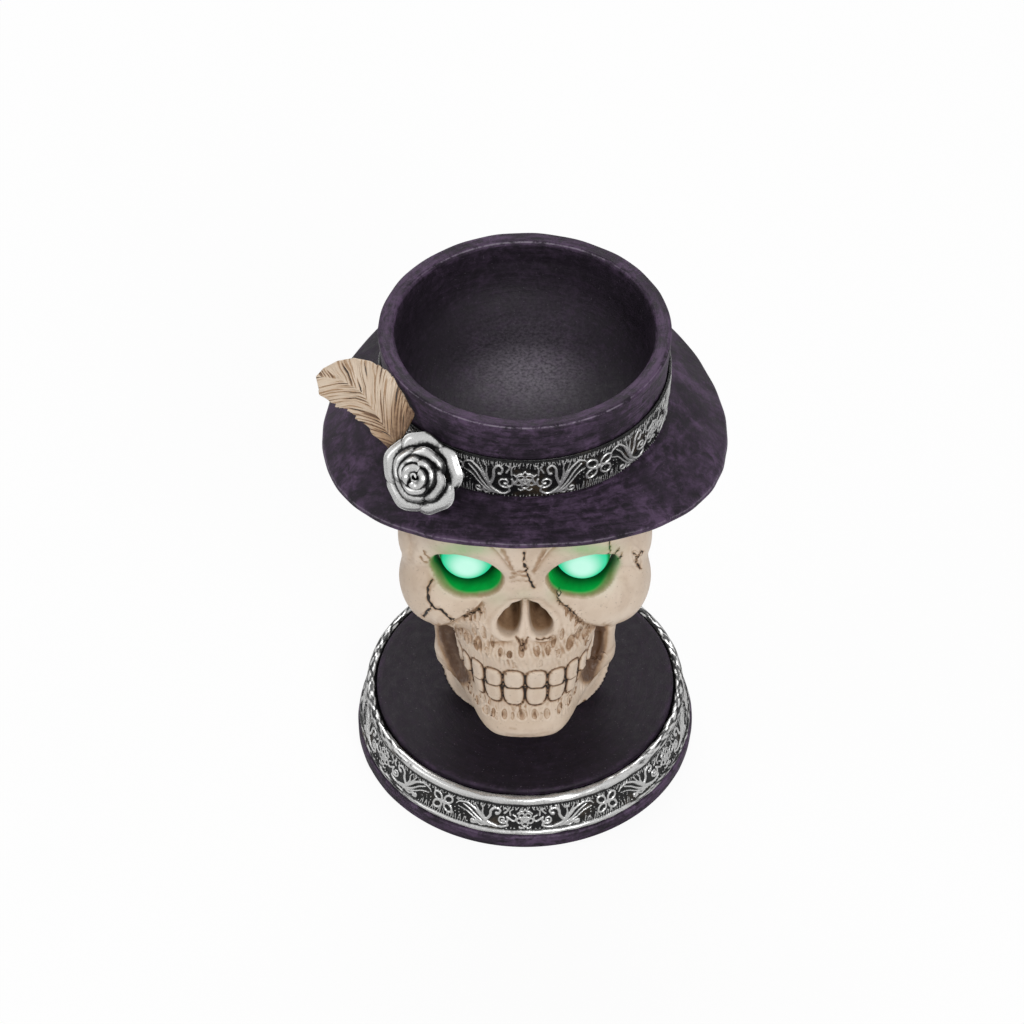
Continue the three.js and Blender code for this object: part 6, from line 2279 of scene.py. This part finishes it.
@dataclass(frozen=True)
class Rose:
    """The silver rose: a coiled bud in rings of rolled petals."""

    azimuth: float = math.radians(36.6)
    facing: float = math.radians(24.0)
    lean: float = math.radians(58.0)
    ring: float = 66.2
    rise: float = 10.0
    thickness: float = 1.25

    def petals(self) -> list[Petal]:
        """Every petal from the outside in."""
        rows = (
            (5, 5.0, 16.0, 0.80, 0.85, -1.8, 0.36),
            (4, 3.6, 10.6, 0.98, 1.35, 0.4, 0.75),
            (3, 2.4, 7.0, 1.16, 1.95, 1.7, 0.2),
            (2, 1.2, 4.4, 1.50, 2.50, 2.6, 0.85),
        )
        result = []
        for number, (count, foot, reach, spread, cup, lift, shift) in enumerate(rows):
            for i in range(count):
                turn = math.tau * (i + shift) / count
                result.append(Petal(turn, foot, reach, spread, cup, lift, 10 * number + i))
        return result

    def petal(self, petal: Petal) -> Piece:
        """Builds one petal about the rose's own axis, opening along Z."""
        wide = 33
        tall = 25
        uneven = np.random.default_rng(petal.seed)
        a, b = np.meshgrid(np.linspace(-1.0, 1.0, wide), np.linspace(0.0, 1.0, tall), indexing="ij")
        a, b = a.ravel(), b.ravel()
        tip = np.sqrt(np.clip(1.0 - 0.58 * np.abs(a) ** 3.2, 0.0, 1.0))
        wave = 1.0 + 0.035 * np.sin(2.3 * a * math.pi + uneven.uniform(0, 6)) * b
        out = petal.foot + (petal.reach - petal.foot) * b * tip * wave
        angle = petal.turn + a * petal.spread * (0.75 + 0.25 * b)
        height = petal.lift + petal.cup * 2.4 * np.sin(np.clip(b, 0, 1) * math.pi * 0.56)
        height = height + 0.75 * a * b
        roll = smooth(b, 0.80, 1.0)
        height = height - roll * (0.9 + 0.5 * petal.cup) + 0.35 * np.sin(4.0 * a + uneven.uniform(0, 6)) * b
        points = np.stack([out * np.cos(angle), out * np.sin(angle), height], axis=1)
        piece = mesh_piece("petal", points, grid_faces(wide, tall))
        thicken(piece, self.thickness, -1.0, 0.4 * self.thickness)
        return piece

    def bud(self) -> Piece:
        """A coiled strip in the middle of the rose."""
        steps = 150
        turn = np.linspace(0.0, math.tau * 1.9, steps)
        reach = 0.5 + 3.1 * (turn / turn[-1]) ** 0.9
        top = 8.9 - 1.6 * (turn / turn[-1])
        x, y = reach * np.cos(turn), reach * np.sin(turn)
        points = [np.stack([x, y, top * level], axis=1) for level in (0.0, 1.0)]
        rows = np.arange(steps)
        quads = np.stack([rows[:-1], rows[1:], rows[1:] + steps, rows[:-1] + steps], axis=1)
        piece = mesh_piece("bud", np.concatenate(points), quads)
        thicken(piece, 0.85, 0.0, 0.36)
        return piece

    def heart(self) -> Piece:
        """The solid that carries the petals."""
        below = [(0.0, -3.2), (5.0, -3.2), (9.5, -2.4), (10.8, -1.0)]
        profile = [*below, (9.0, 1.2), (5.5, 2.6), (3.0, 4.0), (0.0, 4.4)]
        return spun("heart", profile, 48, closed=False)

    def build(self) -> None:
        """Makes the rose, sets it beside the band and paints light and shade into its silver."""
        parts = [self.petal(petal) for petal in self.petals()] + [self.bud(), self.heart()]
        piece = join_pieces("rose_silver", parts)
        piece.rotation_euler = (self.lean, 0.0, -self.facing)
        piece.location = [size * MM for size in beside_band(self.ring, self.azimuth, self.rise)]
        own = places(piece)
        settle(piece, "rose_silver")
        # Painted light and shade: darker below higher petals and next to the band, lighter where petals face
        # up, forward and left.
        way = normals_of(piece)
        towards = np.array((-0.42, -0.62, 0.66))
        facing = way @ (towards / np.linalg.norm(towards))
        lit_share = 1.0 - smooth(self.shade(own, 3), 0.35, 2.3)
        lit_share *= 1.0 - 0.5 * smooth(self.shade(own, 9), 0.8, 4.6)
        p = places(piece)
        lit_share *= smooth(np.hypot(p[:, 0], p[:, 1]), 57.6, 59.6)
        self.fit(piece, p)
        paint(piece, "raise", lit_share * (0.44 + 0.56 * facing))
        dress(piece, Finish.SILVER, "rose")

    def shade(self, own: Array, reach: int) -> Array:
        """How far each place lies below the highest petal within a reach of quarter millimetres."""
        cell = np.clip(np.floor((own[:, :2] + 20.0) / 0.25).astype(int), 10, 149)
        top = np.full((160, 160), -20.0)
        np.maximum.at(top, (cell[:, 0], cell[:, 1]), own[:, 2])
        steps = range(-reach, reach + 1)
        for axis in (0, 1):
            top = np.maximum.reduce([np.roll(top, i, axis) for i in steps])
        for axis in (0, 1):
            top = np.mean([np.roll(top, i, axis) for i in range(-2, 3)], axis=0)
        return top[cell[:, 0], cell[:, 1]] - own[:, 2]

    def fit(self, piece: Piece, p: Array) -> None:
        """Keeps the rose off the brim and the band."""
        brim = Brim()
        floor = BRIM_TOP + brim.fall(p) + 0.3
        p[:, 2] = np.maximum(p[:, 2], floor)
        reach = np.hypot(p[:, 0], p[:, 1])
        p[:, :2] *= np.maximum(1.0, BAND_CLEARANCE / reach)[:, None]
        move_to(piece, p)


@dataclass(frozen=True)
class Feather:
    """The curled feather behind the rose."""

    length: float = 43.5
    thickness: float = 1.8
    bow: float = 4.5
    curl: float = 2.6
    azimuth: float = math.radians(48.8)
    ring: float = 64.1
    rise: float = 11.0
    along: Triple = (-0.743, 0.437, 0.506)
    across: Triple = (0.614, 0.144, 0.776)
    upper_edge: tuple[Pair, ...] = (
        (0.0, 0.0), (0.06, 0.13), (0.13, 0.43), (0.29, 0.49), (0.44, 0.5),
        (0.58, 0.48), (0.73, 0.43), (0.86, 0.34), (0.95, 0.22), (1.0, 0.09),
    )
    lower_edge: tuple[Pair, ...] = (
        (0.0, 0.0), (0.05, -0.06), (0.13, -0.05), (0.34, -0.03),
        (0.58, -0.03), (0.74, -0.085), (0.87, -0.085), (1.0, 0.0),
    )
    shaft: tuple[Pair, ...] = (
        (0.0, 0.0), (0.10, 0.05), (0.35, 0.13), (0.61, 0.19), (0.81, 0.14), (1.0, 0.02),
    )

    def build(self) -> None:
        """Makes the feather with its barbs."""
        wide = 300
        tall = 150
        u, v = np.meshgrid(np.linspace(0.0, 1.0, wide), np.linspace(0.0, 1.0, tall), indexing="ij")
        low, high, middle = self.edges(u[:, 0])
        x = u * self.length
        y = (low[:, None] + (high - low)[:, None] * v) * self.length
        grain = self.barbs(x, y, middle[:, None] * self.length)
        lower, upper = (low[:, None] - middle[:, None]), (high[:, None] - middle[:, None])
        side = np.where(y / self.length > middle[:, None], upper, lower)
        off = np.abs(y / self.length - middle[:, None])
        rim = np.clip(1.0 - off / np.maximum(np.abs(side), 1e-3), 0.0, 1.0)
        ends = np.clip(np.minimum(u, 1.0 - u) / 0.03, 0.0, 1.0)
        body = np.sqrt(np.clip(np.minimum(rim / 0.14, 1.0) * ends, 0.0, 1.0))
        thick = self.thickness * 0.5 * (0.3 + 0.7 * body)
        back = thick + 0.2 * grain.height * body
        front = -thick - 0.5 * grain.height * body
        points = [self.placed(x.ravel(), y.ravel(), z.ravel()) for z in (back, front)]
        count = wide * tall
        rows = np.arange(count).reshape(wide, tall)
        quads = grid_faces(wide, tall)
        under = quads[:, ::-1] + count
        border = np.concatenate([rows[:, 0], rows[-1, 1:], rows[-2::-1, -1], rows[0, -2:0:-1]])
        after = np.roll(border, -1)
        walls = np.stack([after, border, border + count, after + count], axis=1)
        piece = mesh_piece("feather_resin", np.concatenate(points), np.concatenate([quads, under, walls]))
        paint(piece, "wash", np.concatenate([0.6 * grain.wash.ravel(), grain.wash.ravel()]))
        paint(piece, "ink", np.concatenate([np.zeros(count), grain.ink.ravel()]))
        dress(piece, Finish.FEATHER, "feather")

    def edges(self, u: Array) -> tuple[Array, Array, Array]:
        """Lower edge, upper edge and shaft, in shares of the length, at shares along it."""
        upper, lower = line_height(u, self.upper_edge), line_height(u, self.lower_edge)
        size = 0.7 + 0.4 * np.sin(31.0 * u)
        notch = self.notches(6.5 * u + 0.4 * np.sin(11.0 * u), 0.9, 0.3)
        lower = lower - size * (0.04 * notch - 0.02) * smooth(u, 0.12, 0.3) * (1.0 - smooth(u, 0.86, 0.98))
        notch = self.notches(9.0 * u + 0.5 * np.sin(8.0 * u + 1.0), 0.86, 0.4)
        upper = upper + size * (0.04 * notch - 0.02) * smooth(u, 0.08, 0.16) * (1.0 - smooth(u, 0.4, 0.8))
        return lower, upper, line_height(u, self.shaft)

    def notches(self, tuft: Array, steep: float, finer: float) -> Array:
        """Saw teeth of the tufts that part the vane's edge, with smaller ones between."""
        return (tuft % 1.0) * (1.0 - smooth(tuft % 1.0, steep, 1.0)) + finer * ((3.0 * tuft) % 1.0)

    def barbs(self, x: Array, y: Array, middle: Array) -> Touch:
        """Height, wash and ink of the barbs and the shaft."""
        offset = y - middle
        away = np.abs(offset)
        run = x - 1.5 * away + 0.035 * away**2
        hand = np.sign(offset)
        flat = np.stack([run.ravel(), (0.09 * offset + 7.0 * hand).ravel()], axis=1)
        longer = np.stack([run.ravel(), (0.22 * offset + 9.0 * hand).ravel()], axis=1)
        strand = (0.8 * ripple(flat, 0.85, 81) + 0.5 * ripple(flat, 0.5, 82)).reshape(x.shape)
        tuft = ripple(flat, 2.6, 83).reshape(x.shape)
        ridge = np.tanh(1.2 * strand)
        shaft = bell(offset, 0.7) * smooth(x / self.length, 0.02, 0.2)
        height = (0.55 * ridge + 0.45 * tuft) * (1.0 - shaft) + 0.9 * shaft
        groove = smooth(-ridge, 0.05, 0.75)
        root = 1.0 - smooth(x / self.length, 0.08, 0.5)
        near = np.exp(-away / 4.0)
        patch = smooth(ripple(longer, 4.0, 84).reshape(x.shape), -0.2, 1.1)
        wash = groove * (0.6 + 0.5 * patch + 0.3 * near) + 0.72 * root + 0.26 * patch
        dash = smooth(ripple(longer, 1.1, 85).reshape(x.shape), 0.35, 0.75)
        ink = smooth(-ridge, 0.5, 0.72) * dash
        return Touch(height, wash * (1.0 - 0.5 * shaft * (1.0 - root)), ink, away)

    def placed(self, x: Array, y: Array, z: Array) -> Array:
        """Bends the flat feather and sets it behind the rose."""
        z = z - 2.0 * self.bow * (y / self.length) * (1.0 - self.curl * x / self.length)
        along = np.array(self.along)
        away = np.cross(along, np.array(self.across))
        away /= np.linalg.norm(away)
        along = along / np.linalg.norm(along)
        across = np.cross(away, along)
        root = np.array(beside_band(self.ring, self.azimuth, self.rise))
        points = root + x[:, None] * along + y[:, None] * across + z[:, None] * away
        reach = np.hypot(points[:, 0], points[:, 1])
        points[:, :2] *= np.maximum(1.0, BAND_CLEARANCE / reach)[:, None]
        return points


# Studio


@dataclass(frozen=True)
class Softbox:
    """A soft rectangular light: place, size and power."""

    name: str
    spot: Triple
    size: Pair
    power: float

    def build(self) -> None:
        """Makes the light and aims it at the object's middle."""
        data = bpy.data.lights.new(self.name, "AREA")
        data.shape = "RECTANGLE"
        data.size, data.size_y = self.size
        data.energy = self.power
        lamp = bpy.data.objects.new(self.name, data)
        lamp.location = self.spot
        aim = Vector((0.0, 0.0, 0.13)) - Vector(self.spot)
        lamp.rotation_euler = aim.to_track_quat("-Z", "Y").to_euler()
        bpy.context.scene.collection.objects.link(lamp)


@dataclass(frozen=True)
class Studio:
    """White floor, soft boxes and white surroundings."""

    floor_size: float = 8.0
    world: float = 0.26
    whitening: float = 0.93
    boxes: tuple[Softbox, ...] = (
        Softbox("front_box", (0.5, -1.45, 1.25), (0.9, 0.9), 20.0),
        Softbox("back_box", (-0.1, 1.15, 1.3), (1.3, 0.6), 13.0),
        Softbox("side_box", (-1.3, -0.35, 0.9), (0.7, 1.0), 4.0),
    )

    def build(self) -> None:
        """Makes the floor, the lights and the world."""
        self.floor()
        for softbox in self.boxes:
            softbox.build()
        self.sky()

    def floor(self) -> None:
        """A pale plain floor, nearly white to the camera away from the shadow."""
        deselect()
        bpy.ops.mesh.primitive_plane_add(size=self.floor_size, location=(0, 0, 0))
        piece = bpy.context.active_object
        piece.name = "studio_floor"
        s = Shader("studio_floor")
        s.set(Base_Color=(0.9, 0.9, 0.9), Roughness=0.95, Specular_IOR_Level=0.05)
        glow = s.node("Emission", Strength=1.0)
        path = s.node("LightPath")
        blend = s.node("MixShader", Fac=s.times(path.outputs["Is Camera Ray"], self.whitening))
        s.feed(blend.inputs[1], s.surface.outputs["BSDF"])
        s.feed(blend.inputs[2], glow.outputs["Emission"])
        output = s.nodes["Material Output"]
        s.links.new(blend.outputs["Shader"], output.inputs["Surface"])
        piece.data.materials.append(s.material)

    def sky(self) -> None:
        """White for the camera, reflections and refractions, a plain level of light elsewhere."""
        world = bpy.data.worlds.new("studio_world")
        bpy.context.scene.world = world
        world.use_nodes = True
        tree = world.node_tree
        background = tree.nodes["Background"]
        background.inputs["Color"].default_value = (1.0, 1.0, 1.0, 1.0)
        path = tree.nodes.new("ShaderNodeLightPath")
        seen: Socket = path.outputs["Is Camera Ray"]
        for name in ("Is Glossy Ray", "Is Transmission Ray"):
            either = tree.nodes.new("ShaderNodeMath")
            either.operation = "MAXIMUM"
            tree.links.new(seen, either.inputs[0])
            tree.links.new(path.outputs[name], either.inputs[1])
            seen = either.outputs["Value"]
        level = tree.nodes.new("ShaderNodeMapRange")
        level.inputs["To Min"].default_value = self.world
        level.inputs["To Max"].default_value = 1.0
        tree.links.new(seen, level.inputs["Value"])
        tree.links.new(level.outputs["Result"], background.inputs["Strength"])


def dress_plain_nodes() -> None:
    """Gives the CAD pieces that keep their own solids a finish."""
    finishes = {
        "foot_pad": Finish.RUBBER,
        "battery_box": Finish.BLACK,
        "battery_door": Finish.BLACK,
        "box_screw": Finish.STEEL,
        "door_screw": Finish.STEEL,
        "aaa_cell": Finish.CELL,
        "contact_strip": Finish.STEEL,
        "circuit_board": Finish.BOARD,
        "switch_body": Finish.WHITE,
        "switch_slider": Finish.BLACK,
        "led_lead": Finish.WIRE,
    }
    for name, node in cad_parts.items():
        finish = next((value for key, value in finishes.items() if name.startswith(key)), None)
        if finish:
            node.data.materials.clear()
            node.data.materials.append(finish.material)


def main() -> None:
    """Builds and dresses the holder."""
    logging.basicConfig(level=logging.INFO, format="%(message)s")
    bpy.context.scene.view_settings.view_transform = "Standard"
    VIEW.build()
    Studio().build()
    Plinth().build()
    TrimRing().build()
    SkullMaker().build()
    Eyes().build()
    Brim().build()
    Crown().build()
    HatBand().build()
    Rose().build()
    Feather().build()
    dress_plain_nodes()


if __name__ == "__main__":
    main()
